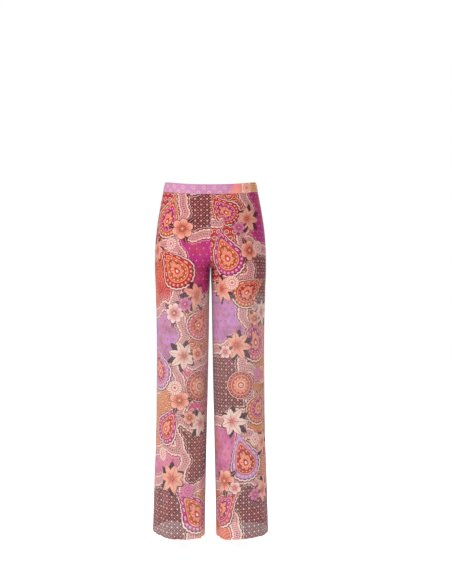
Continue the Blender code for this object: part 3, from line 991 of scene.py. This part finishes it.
def drawAgate(place):
    warp = place.socket.id_data.nodes.new("ShaderNodeTexVoronoi")
    warp.voronoi_dimensions = "2D"
    warp.inputs["Scale"].default_value = 23.0
    moved = blend(noise(place, 20.0, 1.0) * 0.04, place, noise(place, 14.0, 1.0))
    plug(moved, warp.inputs["Vector"])
    reach = wire(warp.outputs["Distance"])
    level = calc("FRACT", reach * 5.6)
    dark = level < 0.09
    pale = between(0.09, level, 0.26)
    accent = between(0.55, level, 0.80) | (reach < 0.10)
    return accent * 0.7, pale * 0.5, dark * 0.6


def drawRosettes(x, y):
    inX, inY, _ = cells(x, y, *repeats["rosettes"])
    radius, angle = polar(inX, inY * 0.91)
    petal = sineOf(angle * 6.0)
    tip = radius - petal * 0.09
    inner = radius - sineOf(angle * 4.0) * 0.05
    pale = between(0.285, tip, 0.315) | between(0.10, inner, 0.13)
    pale = pale | ((petal < 0.22) & between(0.17, radius, 0.31))
    accent = between(0.14, tip, 0.285) | (inner < 0.06)
    dark = between(0.315, tip, 0.345) | between(0.13, inner, 0.155)
    dots, _ = polar(0.5 - abs(inX), inY)
    return accent | between(0.04, dots, 0.07), pale | (dots < 0.03), dark


def drawTrellis(x, y):
    wide, tall = repeats["trellis"]
    wave = calc("COSINE", x * (math.tau / wide)) + calc("COSINE", y * (math.tau / tall))
    inX, inY, _ = cells(x, y, wide, tall, 0.0)
    fromFlower, angle = polar(0.5 - abs(inX), (0.5 - abs(inY)) * (tall / wide))
    flower = petalled(fromFlower, angle, 4, 0.25)
    middle, _ = polar(inX, inY * (tall / wide))
    ring = petalled(middle, calc("ARCTAN2", inY, inX), 6, 0.15)
    pale = between(-0.10, wave, 0.10) | (flower < 0.06) | between(0.11, ring, 0.15)
    accent = between(0.06, flower, 0.19) | (ring < 0.11)
    dark = between(0.10, wave, 0.22) | between(-0.22, wave, -0.10) | between(0.15, ring, 0.19)
    return accent, pale, dark


washMake = {
    "clouds": 26.0,
    "cloudStart": 0.46,
    "cloudGain": 4.0,
    "poolWidth": 0.016,
    "deep": 0.55,
    "wash": 11.0,
    "washGain": 3.5,
    # dark foulards take the first share of the wash, and the other blocks both
    "take": (0.28, 0.30),
    "pale": 0.85,
    "dark": 0.8,
}


def drawBlocks(tree):
    place, x, y = flatCloth(tree)
    motif, edge = attribute(tree, "motif"), attribute(tree, "edge")
    # in the order of motifs
    drawn = [
        drawTiles(x, y), drawRings(x, y), drawScales(x, y), drawSprigs(x, y),
        drawBotehs(x, y), drawAgate(place), drawRosettes(x, y), drawTrellis(x, y),
    ]
    sums = None
    for number, masks in enumerate(drawn):
        here = abs(motif - float(number)) < 0.5
        masks = [mask & here for mask in masks]
        sums = masks if sums is None else [total + mask for total, mask in zip(sums, masks)]
    accent, pale, dark = sums
    # watercolour grounds: lighter and deeper clouds, deepest along the ribbons
    cloud = noise(place, washMake["clouds"], 3.0, 0.6)
    pool = calc("MINIMUM", 1.0 - (edge - printMake["ribbon"]) / washMake["poolWidth"], 1.0)
    deep = calc("MAXIMUM", pool, (cloud - washMake["cloudStart"]) * washMake["cloudGain"])
    wash = (noise(place, washMake["wash"], 1.0) - 0.5) * washMake["washGain"]
    least, more = washMake["take"]
    take = (motif > 0.5) * more + least
    ground = blend(kept(wash) * take, attribute(tree, "ground", "Color"), inks["magenta"])
    ground = blend(kept(0.0 - wash) * take, ground, inks["orange"])
    accentInk = attribute(tree, "accent", "Color")
    ground = blend(kept(deep) * washMake["deep"], ground, accentInk, "MULTIPLY")
    colour = blend(accent, ground, accentInk)
    colour = blend(pale * washMake["pale"], colour, inks["lace"])
    return blend(dark * washMake["dark"], colour, inks["brown"]), cloud


def drawRibbons(colour, tree):
    # all in metres: the edge of a block is the middle of a ribbon
    edge, along = attribute(tree, "edge"), attribute(tree, "along")
    half, scallop = printMake["ribbon"], printMake["ribbonScallop"]
    arcs = sineOf(along * (math.pi / scallop))
    rim = edge - arcs * 0.0030
    loop = edge - arcs * 0.0016
    fine = sineOf(along * (math.pi / scallop * 2)) * 0.0010
    beadX = (calc("FRACT", along / (scallop * 0.5)) - 0.5) * (scallop * 0.5)
    bead, _ = polar(beadX, edge - half * 0.76)
    eyeX = (calc("FRACT", along / 0.0060) - 0.5) * 0.0060
    eye, _ = polar(eyeX, edge - 0.0026)
    zig = abs(calc("PINGPONG", along, 0.0060) - 0.0030) * 0.8
    return paintOver(colour, edge < 0.05, [
        (between(half + 0.0056, rim, half + 0.0068), "lace"),
        (between(half + 0.0030, loop, half + 0.0038), "brown"),
        (rim < half + 0.0014, "brown"),
        (rim < half + 0.0006, "lace"),
        (edge < half - 0.0012, "rose"),
        (bead < 0.0019, "lace"),
        (bead < 0.0009, "coral"),
        (edge + fine < 0.0078, "brown"),
        (edge + fine < 0.0069, ink(234, 190, 184)),
        (between(0.0012, eye, 0.0017) | (abs(edge - zig - 0.0006) < 0.0004), ink(176, 84, 92)),
        (eye < 0.0009, "plum"),
    ])


def drawSpots(colour, tree):
    x, y, near = split(attribute(tree, "spot", "Vector"))
    there, kind = near > 0.04, attribute(tree, "spotKind")
    ground, accent = attribute(tree, "spotGround", "Color"), attribute(tree, "spotAccent", "Color")
    radius, angle = polar(x, y)
    petals = attribute(tree, "spotPetals") * 0.5
    rim = radius - sineOf(angle * 10.0) * 0.040
    petal = sineOf(angle * petals)
    tip = radius - (petal ** 0.7) * 0.17
    star = radius - abs(calc("COSINE", angle * 4.0)) * 0.09
    # rosette, from its fringe inwards
    colour = paintOver(colour, there & (kind < 0.5), [
        (between(0.995, rim, 1.060) & (sineOf(angle * 40.0) < 0.5), "brown"),
        (rim < 0.995, "brown"),
        (rim < 0.970, "lace"),
        (rim < 0.925, "plum"),
        (radius < 0.920, accent),
        (beads(radius, angle, 22, 0.835, 0.050), "peach"),
        (beads(radius, angle, 22, 0.835, 0.022), "brown"),
        (radius < 0.755, "brown"),
        (radius < 0.738, ink(226, 184, 182)),
        (beads(radius, angle, 44, 0.700, 0.018), "plum"),
        (radius < 0.660, "brown"),
        (radius < 0.643, ground),
        (tip < 0.440, "brown"),
        (tip < 0.415, "peach"),
        ((petal < 0.16) & (radius < 0.58), "coral"),
        ((tip < 0.30) & (sineOf(angle * petals * 3.0) < 0.3), "coral"),
        (radius < 0.340, "brown"),
        (radius < 0.322, "lace"),
        (beads(radius, angle, 18, 0.280, 0.020), "magenta"),
        (radius < 0.240, ground),
        (star < 0.120, "orange"),
        (star < 0.055, "lace"),
        (radius < 0.045, "brown"),
    ])
    # paisley, from its fringe inwards
    level, turned = boteh(x, y)
    rim = level - sineOf(turned * 11.0) * 0.055
    petal = level - sineOf(turned * petals) * 0.14
    return paintOver(colour, there & (kind > 0.5), [
        (between(1.060, rim, 1.130) & (sineOf(turned * 33.0) < 0.5) & (y < 1.2), "brown"),
        (rim < 1.060, "brown"),
        (rim < 1.020, "lace"),
        (rim < 0.935, "plum"),
        (level < 0.920, accent),
        (beads(level, turned, 20, 0.800, 0.060), "lace"),
        (beads(level, turned, 20, 0.800, 0.026), "brown"),
        (level < 0.680, "brown"),
        (level < 0.650, "peach"),
        (level < 0.590, ground),
        (beads(level, turned, 14, 0.500, 0.034), "lace"),
        (between(0.400, level, 0.425), "brown"),
        (petal < 0.300, "brown"),
        (petal < 0.262, "peach"),
        ((petal < 0.200) & (sineOf(turned * petals * 2.0) < 0.3), "coral"),
        (level < 0.150, "coral"),
        (level < 0.070, "lace"),
    ])


def fan(radius, angle, count, reach, wide):
    # how far inside a fan of pointed, notched leaves, how far off a leaf's middle, and how far along it
    off = abs(calc("FRACT", angle * (count / math.tau)) - 0.5) * (math.tau / count) * radius
    along = calc("MINIMUM", radius / reach, 1.0)
    past = calc("MAXIMUM", radius / reach - 1.0, 0.0) * 3.0
    inside = (sineOf(along * math.pi) ** 0.8) * wide + sineOf(along * 16.0) * 0.022 - off - past
    return inside, off, along


def drawBlooms(colour, tree, layer):
    x, y, near = split(attribute(tree, layer, "Vector"))
    there, kind = near > 0.06, attribute(tree, layer + "Kind")
    shade = attribute(tree, layer + "Ground", "Color")
    second = attribute(tree, layer + "Accent", "Color")
    radius, angle = polar(x, y)
    turns = angle * (attribute(tree, layer + "Petals") * 0.5)
    # leaf spray: pale leaves over dark ones, longer on one side
    reach = calc("COSINE", angle + 0.6) * 0.20 + 1.02
    under, _, _ = fan(radius, angle + 0.5, 6.0, reach * 1.18, 0.26)
    leaf, off, along = fan(radius, angle, 7.0, reach, 0.25)
    ribs = (off < 0.012) | (sineOf(along * 19.0 - off * 34.0) < 0.16)
    colour = paintOver(colour, there & (kind > 1.5), [
        (under > 0.0, "brown"),
        (under > 0.045, "plum"),
        (leaf > -0.035, "brown"),
        (leaf > 0.0, shade),
        ((leaf > 0.0) & kept((0.50 - along) * 2.0), second),
        ((leaf > 0.02) & ribs & (along > 0.12), ink(150, 70, 66)),
        (radius < 0.110, "brown"),
        (radius < 0.080, "ochre"),
    ])
    # blossom: broad notched petals that pale towards their tips, with three dark leaves behind
    under, off, along = fan(radius, angle + 1.0, 3.0, 1.42, 0.22)
    petal = sineOf(turns)
    tip = radius - (petal ** 0.5) * 0.36 + sineOf(turns * 5.0) * 0.045
    petalShade = blend(kept((radius - 0.18) * 2.0), second, shade)
    veins = (sineOf(turns * 4.0) < 0.20) & between(0.30, radius, 0.74)
    colour = paintOver(colour, there & (kind < 0.5), [
        (under > 0.0, "brown"),
        (under > 0.045, "plum"),
        ((under > 0.045) & (off < 0.020), "peach"),
        (tip < 0.640, "brown"),
        (tip < 0.590, petalShade),
        (veins & (tip < 0.54), second),
        ((petal < 0.13) & (radius < 0.62), "brown"),
        (radius < 0.230, "brown"),
        (radius < 0.200, "ochre"),
        (beads(radius, angle, 9, 0.140, 0.030), "brown"),
        (radius < 0.070, "lace"),
    ])
    # daisy: many thin petals in two rings
    tip = radius - (petal ** 0.4) * 0.24
    inner = radius - (sineOf(angle * 6.0) ** 0.6) * 0.16
    return paintOver(colour, there & between(0.5, kind, 1.5), [
        (tip < 0.745, "plum"),
        (tip < 0.700, shade),
        ((petal < 0.34) & between(0.40, radius, 0.90) & (tip < 0.745), second),
        (radius < 0.480, "rose"),
        (inner < 0.310, "brown"),
        (inner < 0.275, shade),
        (radius < 0.200, "coral"),
        (beads(radius, angle, 8, 0.125, 0.032), "lace"),
        (radius < 0.060, "brown"),
    ])


def drawPrint(tree):
    colour, cloud = drawBlocks(tree)
    colour = drawRibbons(colour, tree)
    colour = drawSpots(colour, tree)
    colour = drawBlooms(colour, tree, "bloom")
    colour = drawBlooms(colour, tree, "bud")
    return blend(cloud * 0.25, colour, ink(196, 150, 150), "MULTIPLY")


# cloth finishes

def newFinish(name, roughness, sheen=0.0, sheenRoughness=0.4):
    material = bpy.data.materials.new(name)
    material.use_nodes = True
    shader = material.node_tree.nodes["Principled BSDF"]
    shader.inputs["Roughness"].default_value = roughness
    shader.inputs["Sheen Weight"].default_value = sheen
    shader.inputs["Sheen Roughness"].default_value = sheenRoughness
    return material, material.node_tree, shader


def addBump(shader, height, strength, distance):
    bump = shader.id_data.nodes.new("ShaderNodeBump")
    bump.inputs["Strength"].default_value = strength
    bump.inputs["Distance"].default_value = distance
    plug(height, bump.inputs["Height"])
    plug(wire(bump.outputs["Normal"]), shader.inputs["Normal"])


def addWeave(shader, place, thread, strength):
    # fine crepe: two crossed ribs
    ribs = calc("SINE", place[0] * (math.tau / thread)) + calc("SINE", place[1] * (math.tau / thread))
    addBump(shader, ribs, strength, thread * 0.2)


sheerFinish = {"alpha": 0.50, "seamAlpha": 0.20, "thread": 0.0009}


def makePrintedSheer():
    material, tree, shader = newFinish("printedSheer", 0.70, 0.12)
    shader.inputs["Specular IOR Level"].default_value = 0.3
    plug(drawPrint(tree), shader.inputs["Base Color"])
    alpha = attribute(tree, "doubled") * sheerFinish["seamAlpha"] + sheerFinish["alpha"]
    plug(alpha, shader.inputs["Alpha"])
    addWeave(shader, flatCloth(tree)[1:], sheerFinish["thread"], 0.25)
    return material


# leg panels

panelMake = {
    "columns": 98,
    "rowStep": 0.0036,
    "thickness": 0.0008,
    "hemAllowance": 0.014,
    # strength, and how far above the hem it is full and starts
    "heavyInk": [(0.90, 0.035, 0.075), (0.45, 0.28, 0.50)],
    "seamAllowance": 0.007,
    "flat": {"front": (0.315, 1.02), "back": (0.335, 1.02)},
    "area": {"front": 0.287, "back": 0.297},
}


def makePanels(material):
    panelRows = {}
    drops = rowDrops(cut["sideLength"], panelMake["rowStep"])
    for face, leg in panelPlaces:
        points, flat = panelPoints(face, leg, drops, panelMake["columns"])
        # hem and seams, where the cloth is turned in and lies double, and the heavier ink lower down
        across = np.abs(flat[..., 0] - flat[:, :1, 0])
        fromSeam = np.minimum(across, np.abs(flat[..., 0] - flat[:, -1:, 0]))
        fromHem = cut["sideLength"] - flat[..., 1]
        doubled = np.maximum(fromSeam < panelMake["seamAllowance"], fromHem < panelMake["hemAllowance"])
        for strength, full, start in panelMake["heavyInk"]:
            doubled = np.maximum(doubled, strength * (1 - smoothStep(full, start, fromHem)))
        flat = np.dstack((flat, doubled))
        name = f"{face}{leg.title()}Panel"
        piece, flat = layGrid(name, points, flat, facesOut(face, leg))
        layPrint(piece, face, leg, flat)
        writeAttribute(piece.data, "doubled", "FLOAT", flat[:, 2])
        thicken(piece, panelMake["thickness"])
        piece.data.materials.append(material)
        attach(piece, "garment")
        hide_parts(f"{face}_{leg}")
        panelRows[face, leg] = points
        print(name, "has", len(piece.data.polygons) * 2, "triangles")
    return panelRows


panelRows = makePanels(makePrintedSheer())


# short lining legs, caught behind the waistband

liningMake = {
    "columns": 60,
    "rowStep": 0.0055,
    "inset": 0.0034,
    "topInset": 0.0022,
    "topEnds": 0.070,
    "tapeClear": 0.0150,
    "tapeWidth": 0.0110,
    "thickness": 0.0007,
    "thread": 0.0007,
    "shades": (ink(220, 70, 90), ink(234, 92, 108)),
    "flat": {"front": (0.31, 0.31), "back": (0.33, 0.31)},
    "area": {"front": 0.073, "back": 0.078},
}


def liningEase(face, across, drop):
    # the lining's top comes out to the waistband, but stays clear of the zip tapes
    nearTop = 1 - smoothStep(cut["waistband"], liningMake["topEnds"], drop)
    clear = 1.0
    if face == "back":
        clear = np.clip((across - liningMake["tapeClear"]) / liningMake["tapeWidth"], 0, 1)
    return (liningMake["inset"] - liningMake["topInset"]) * nearTop * clear


def makeLiningCloth():
    material, tree, shader = newFinish("liningCloth", 0.52, 0.15)
    place, x, y = flatCloth(tree)
    plug(blend(noise(place, 60.0), *liningMake["shades"]), shader.inputs["Base Color"])
    addWeave(shader, (x, y), liningMake["thread"], 0.2)
    return material


def makeLining(material):
    drops = rowDrops(cut["liningLength"], liningMake["rowStep"], liningMake["inset"])
    legs = {}
    for face, leg in panelPlaces:
        columns, inset = liningMake["columns"], liningMake["inset"]
        points, flat = panelPoints(face, leg, drops, columns, inset, liningEase)
        name = f"lining{face.title()}{leg.title()}"
        piece, _ = layGrid(name, points, flat, facesOut(face, leg))
        thicken(piece, liningMake["thickness"])
        piece.data.materials.append(material)
        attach(piece, "garment")
        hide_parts(f"lining_{face}_{leg}")
        legs[face, leg] = points
    print("lining made")
    return legs


liningRows = makeLining(makeLiningCloth())


# waistband: one front, two back halves that meet at the zip

bandMake = {
    "columns": 98,
    "rows": 10,
    "proud": 0.0004,
    "thickness": 0.0020,
    "zipGap": 0.0022,
    "edgeBevel": 0.0006,
    "puff": 0.00045,
    "thread": 0.0009,
    "frontFlat": (0.39, 0.0285),
    "backFlat": (0.19, 0.0285),
}


def bandRows(face, leg, seam):
    rows, flat = [], []
    for step in range(bandMake["rows"] + 1):
        share = step / bandMake["rows"]
        puff = bandMake["puff"] * math.sin(math.pi * share) ** 0.5
        drop = cut["waistband"] * share
        row, _ = panelRow(face, leg, drop, bandMake["columns"], -bandMake["proud"] - puff, seam)
        length = lengthsAlong(row[:, :2])
        rows.append(row)
        flat.append(np.column_stack((length[-1] - length, np.full(len(row), drop))))
    return onItsSide(leg, rows, flat)


def bevelRim(piece, width, angle=50):
    rim = piece.modifiers.new("rim", "BEVEL")
    rim.width = width
    rim.segments = 3
    rim.limit_method = "ANGLE"
    rim.angle_limit = math.radians(angle)
    bpy.context.view_layer.objects.active = piece
    bpy.ops.object.modifier_apply(modifier=rim.name)


bandPrint = {
    "ground": (ink(199, 130, 171), ink(179, 118, 166)),
    "ring": ink(226, 192, 116),
    "ringRim": ink(170, 96, 128),
    "ringCell": (0.0310, 0.0150),
    "ringStart": (0.5, 0.0025),
    "ringSquash": 1.1,
    # the colours at the wearer's left end, by how far they lie from the middle of the front
    "farEnd": 0.2,
    "salmon": (0.060, 0.018),
    "laceRim": 0.0940,
    "lace": (0.0950, 0.1290),
    "laceScallop": (0.0071, 0.0020),
    "ochre": 0.1300,
    "dots": 0.1330,
    "dotCell": (0.0070, 0.0071),
    "rosette": (0.1115, 0.0140),
    "rosetteRoom": (0.0960, 0.1280),
}


def makeBandCloth():
    material, tree, shader = newFinish("waistbandCloth", 0.62, 0.2)
    place, x, y = flatCloth(tree)
    ground = blend(noise(place, 30.0, 3.0), *bandPrint["ground"])
    wide, tall = bandPrint["ringCell"]
    startX, startY = bandPrint["ringStart"]
    inX, inY, _ = cells(x + startX, y - startY, wide, tall)
    ring, angle = polar(inX * (wide / tall * bandPrint["ringSquash"]), inY)
    ring = petalled(ring, angle, 6, 0.06)
    colour = blend(between(0.235, ring, 0.335), ground, bandPrint["ring"])
    colour = blend(between(0.210, ring, 0.235) | (ring < 0.07), colour, bandPrint["ringRim"])
    # the wearer's left end is cut from another part of the cloth, and its colours run in slowly
    salmon = blend(noise(place, 60.0), inks["peach"], inks["rose"])
    starts, runsIn = bandPrint["salmon"]
    farEnd = bandPrint["farEnd"]
    colour = blend(kept((x + y * 0.4 - starts) / runsIn) & (x < farEnd), colour, salmon)
    scallop, deep = bandPrint["laceScallop"]
    arcs = sineOf(y * (math.pi / scallop)) * deep
    colour = blend(between(bandPrint["laceRim"], x + arcs, farEnd), colour, inks["brown"])
    lacePart = blend(noise(place, 90.0), inks["lace"], inks["peach"])
    laceStart, laceEnd = bandPrint["lace"]
    colour = blend(between(laceStart, x + arcs, laceEnd), colour, lacePart)
    endPart = blend(noise(place, 140.0), inks["ochre"], inks["peach"])
    colour = blend(between(bandPrint["ochre"], x + arcs, farEnd), colour, endPart)
    wide, tall = bandPrint["dotCell"]
    dots, _ = polar(calc("FRACT", x / wide) - 0.5, calc("FRACT", y / tall) - 0.5)
    dotted = between(bandPrint["dots"], x, farEnd) & between(0.14, dots, 0.27)
    colour = blend(dotted, colour, inks["brown"])
    middleX, middleY = bandPrint["rosette"]
    radius, angle = polar(x - middleX, y - middleY)
    petal = sineOf(angle * 4.0)
    tip = radius - petal * 0.0030
    roomStart, roomEnd = bandPrint["rosetteRoom"]
    colour = paintOver(colour, between(roomStart, x, roomEnd), [
        (tip < 0.0112, "brown"),
        (tip < 0.0104, "peach"),
        (petal < 0.16, "rose"),
        (radius < 0.0052, "brown"),
        (radius < 0.0045, "pink"),
        (radius < 0.0020, "coral"),
    ])
    plug(colour, shader.inputs["Base Color"])
    addWeave(shader, (x, y), bandMake["thread"], 0.25)
    return material


def makeWaistband(material):
    left, leftFlat = bandRows("front", "left", 0.0)
    right, rightFlat = bandRows("front", "right", 0.0)
    front = np.concatenate((left, right[:, ::-1][:, 1:]), axis=1)
    frontFlat = np.concatenate((leftFlat, rightFlat[:, ::-1][:, 1:]), axis=1)
    frontPanels = ["front_left", "front_right"]
    pieces = [("Front", "front", front, frontFlat, False, bandMake["frontFlat"], frontPanels)]
    for leg in legSign:
        rows, flat = bandRows("back", leg, bandMake["zipGap"])
        inOrder, size = facesOut("back", leg), bandMake["backFlat"]
        pieces.append((f"Back{leg.title()}", f"back_{leg}", rows, flat, inOrder, size, [f"back_{leg}"]))
    for name, node, rows, flat, inOrder, size, below in pieces:
        piece, _ = layGrid(f"waistband{name}", rows, flat, inOrder)
        thicken(piece, bandMake["thickness"])
        bevelRim(piece, bandMake["edgeBevel"])
        piece.data.materials.append(material)
        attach(piece, "garment")
        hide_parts(f"waistband_{node}")
    print("waistband made")


makeWaistband(makeBandCloth())


# sewing thread: rows of stitches round the hems

threadMake = {
    "stitch": 0.0026,
    "gap": 0.0011,
    "radius": 0.00022,
    "sides": 5,
    # place along the stitch and thickness, as shares of its length and radius
    "rings": ((-0.5, 0.25), (-0.36, 0.9), (0.36, 0.9), (0.5, 0.25)),
    "hemRow": 0.0115,
    "liningHemRow": 0.0080,
}


def makeThread(name, colour):
    material, tree, shader = newFinish(name, 0.5, 0.3)
    darker = shaded(colour, 0.7)
    plug(blend(noise(objectPlace(tree), 2500.0), darker, colour), shader.inputs["Base Color"])
    return material


def lineThrough(points, step):
    # points at even steps along a line
    lengths = lengthsAlong(points)
    count = max(2, int(lengths[-1] / step))
    marks = (np.arange(count) + 0.5) * lengths[-1] / count
    return np.column_stack([np.interp(marks, lengths, points[:, axis]) for axis in range(3)])


def makeStitches(name, lines, material):
    # one stitch is a short thread with round ends; each line gives its points and which way is out
    rings, sides = threadMake["rings"], threadMake["sides"]
    vertices, faces = [], []
    for points, outward in lines:
        middles = lineThrough(points, threadMake["stitch"] + threadMake["gap"])
        ways = np.gradient(middles, axis=0)
        for middle, way in zip(middles, ways):
            way = Vector(way).normalized()
            out = Vector(outward(middle)).normalized()
            side = way.cross(out).normalized()
            first = len(vertices)
            for along, thick in rings:
                for turn in range(sides):
                    angle = math.tau * turn / sides
                    spread = side * math.cos(angle) + out * math.sin(angle)
                    spread = spread * threadMake["radius"] * thick
                    vertices.append(Vector(middle) + way * along * threadMake["stitch"] + spread)
            for ring in range(len(rings) - 1):
                for turn in range(sides):
                    low, high = first + ring * sides, first + (ring + 1) * sides
                    nextTurn = (turn + 1) % sides
                    faces.append((low + turn, high + turn, high + nextTurn, low + nextTurn))
            faces.append(tuple(first + turn for turn in range(sides)))
            last = first + (len(rings) - 1) * sides
            faces.append(tuple(last + turn for turn in reversed(range(sides))))
    piece = meshFrom(name, vertices, faces, material)
    turnOut(piece)
    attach(piece, "garment")


def rowAbove(points, height):
    # the row of a panel that lies so high above its hem
    drops = -points[:, 0, 2]
    row = int(np.argmin(np.abs(drops - (drops.max() - height))))
    return points[row]


def outOfLeg(leg):
    middle = Vector((legMiddle["front"] * legSign[leg], 0.0, 0.0))
    return lambda spot: Vector((spot[0] - middle.x, spot[1] - middle.y, 0.0))


def stitchRound(name, rows, height, material):
    # a row of stitches round each leg, so high above the hem
    for leg in legSign:
        lines = [(rowAbove(rows[face, leg], height), outOfLeg(leg)) for face in ("front", "back")]
        makeStitches(f"{name}{leg.title()}", lines, material)


def makeHemStitches():
    thread = makeThread("hemThread", inks["peach"])
    stitchRound("hemStitches", panelRows, threadMake["hemRow"], thread)
    thread = makeThread("liningThread", inks["rose"])
    stitchRound("liningStitches", liningRows, threadMake["liningHemRow"], thread)
    print("hems stitched")


makeHemStitches()


# zip: two tapes with their coil, and the slider with its pull tab

zipMake = {
    "tapeInset": 0.0020,
    "tapeTop": 0.0168,
    "tapeWidth": 0.0110,
    "tapeThickness": 0.0006,
    "tapeRows": 60,
    "tapeColumns": 8,
    "toothPitch": 0.0016,
    "toothSize": (0.0013, 0.0005, 0.0006),
    "toothBevel": 0.00014,
    "toothSeat": 0.00045,
    "coilEnds": (0.002, 0.004),
    "coilClear": 0.00005,
    "toothAcross": 0.0008,
    "toothStagger": 0.25,
    "tapeFlat": (0.011, 0.148),
    "tapeTurns": 0.0016,
    "tapeThread": 0.0008,
    "tapeShades": (ink(150, 74, 124), ink(186, 108, 160)),
    "coilShade": ink(178, 96, 150),
    "metalShade": ink(206, 128, 178),
    "sliderEase": 0.00035,
    "tabEase": 0.00022,
    "easeAngle": 40,
    "weld": 0.00001,
    "weldAngle": 2,
}


def makeTapeCloth():
    material, tree, shader = newFinish("zipTape", 0.75, 0.1)
    _, x, y = flatCloth(tree)
    # herringbone: diagonal ribs that turn back every so often
    slant = calc("PINGPONG", x, zipMake["tapeTurns"]) + y
    ribs = calc("SINE", slant * (math.tau / zipMake["tapeThread"]))
    plug(blend(ribs * 0.5 + 0.5, *zipMake["tapeShades"]), shader.inputs["Base Color"])
    addBump(shader, ribs, 0.3, 0.0002)
    return material


def makeZipFinish(name, colour, roughness, metallic):
    material, tree, shader = newFinish(name, roughness)
    shader.inputs["Metallic"].default_value = metallic
    grain = noise(objectPlace(tree), 900.0, 3.0)
    darker = shaded(colour, 0.8)
    plug(blend(grain, darker, colour), shader.inputs["Base Color"])
    addBump(shader, grain, 0.05, 0.0001)
    return material


def backDepth(across, drop, inset):
    line = sectionLine("back", drop, inset, cut["seamGap"], panelMake["columns"])
    return np.interp(across, line[::-1, 0], line[::-1, 1])


def makeTapes(material):
    across = np.linspace(zipMake["tapeWidth"], cut["seamGap"] / 2, zipMake["tapeColumns"] + 1)
    drops = np.linspace(zipMake["tapeTop"], cut["zipLength"], zipMake["tapeRows"] + 1)
    for leg in legSign:
        rows, flat = [], []
        for drop in drops:
            line = np.column_stack((across, backDepth(across, drop, zipMake["tapeInset"])))
            rows.append(hung(drop, line))
            flat.append(np.column_stack((across, np.full(len(across), drop))))
        rows, flat = np.array(rows), np.array(flat)
        rows[..., 0] *= legSign[leg]
        name = f"zipTape{leg.title()}"
        piece, _ = layGrid(name, rows, flat, facesOut("back", leg))
        thicken(piece, zipMake["tapeThickness"])
        piece.data.materials.append(material)
        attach(piece, "garment")
        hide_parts(f"zip_tape_{leg}")


def makeCoil(material):
    # one tooth is shaped, then copied down both tapes, a little apart in turn
    wide, deep, tall = zipMake["toothSize"]
    deselectAll()
    bpy.ops.mesh.primitive_cube_add(size=1)
    tooth = bpy.context.object
    tooth.data.transform(Matrix.Diagonal((wide, deep, tall, 1)))
    bevelRim(tooth, zipMake["toothBevel"])
    shape = np.array([vertex.co for vertex in tooth.data.vertices])
    shapeFaces = [tuple(face.vertices) for face in tooth.data.polygons]
    bpy.data.objects.remove(tooth)
    vertices, faces = [], []
    start = zipMake["tapeTop"] + zipMake["coilEnds"][0]
    end = cut["zipLength"] - zipMake["coilEnds"][1]
    under = zipMake["tapeInset"] + zipMake["tapeThickness"] + deep / 2 + zipMake["coilClear"]
    for side in (1, -1):
        for number in range(int((end - start) / zipMake["toothPitch"])):
            drop = start + (number + zipMake["toothStagger"] * side) * zipMake["toothPitch"]
            depth = float(backDepth(zipMake["toothAcross"], drop, under))
            middle = np.array((side * zipMake["toothSeat"], depth, -drop))
            first = len(vertices)
            vertices.extend(shape + middle)
            faces.extend(tuple(first + corner for corner in face) for face in shapeFaces)
    coil = meshFrom("zipCoil", vertices, faces, material)
    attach(coil, "garment")


def finerCopy(node, name, width, material):
    # a copy of a solid with its corners eased
    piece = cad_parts[node].copy()
    piece.data = piece.data.copy()
    piece.name = piece.data.name = name
    for key in list(piece.keys()):
        if key.startswith("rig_"):
            del piece[key]
    piece.parent = None
    bpy.context.scene.collection.objects.link(piece)
    turnOut(piece, merge=zipMake["weld"], flatAngle=zipMake["weldAngle"])
    bevelRim(piece, width, angle=zipMake["easeAngle"])
    bpy.ops.object.shade_smooth_by_angle(angle=math.radians(zipMake["easeAngle"]))
    piece.data.materials.clear()
    piece.data.materials.append(material)
    return piece


def makeZip():
    makeTapes(makeTapeCloth())
    makeCoil(makeZipFinish("zipNylon", zipMake["coilShade"], 0.45, 0.0))
    metal = makeZipFinish("zipMetal", zipMake["metalShade"], 0.32, 0.35)
    slider = finerCopy("zip_slider", "zipSlider", zipMake["sliderEase"], metal)
    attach(slider, "garment")
    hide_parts("zip_slider")
    tab = finerCopy("zip_pull", "zipPullTab", zipMake["tabEase"], metal)
    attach(tab, "zip_pull")
    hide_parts("zip_pull")
    print("zip made")


makeZip()
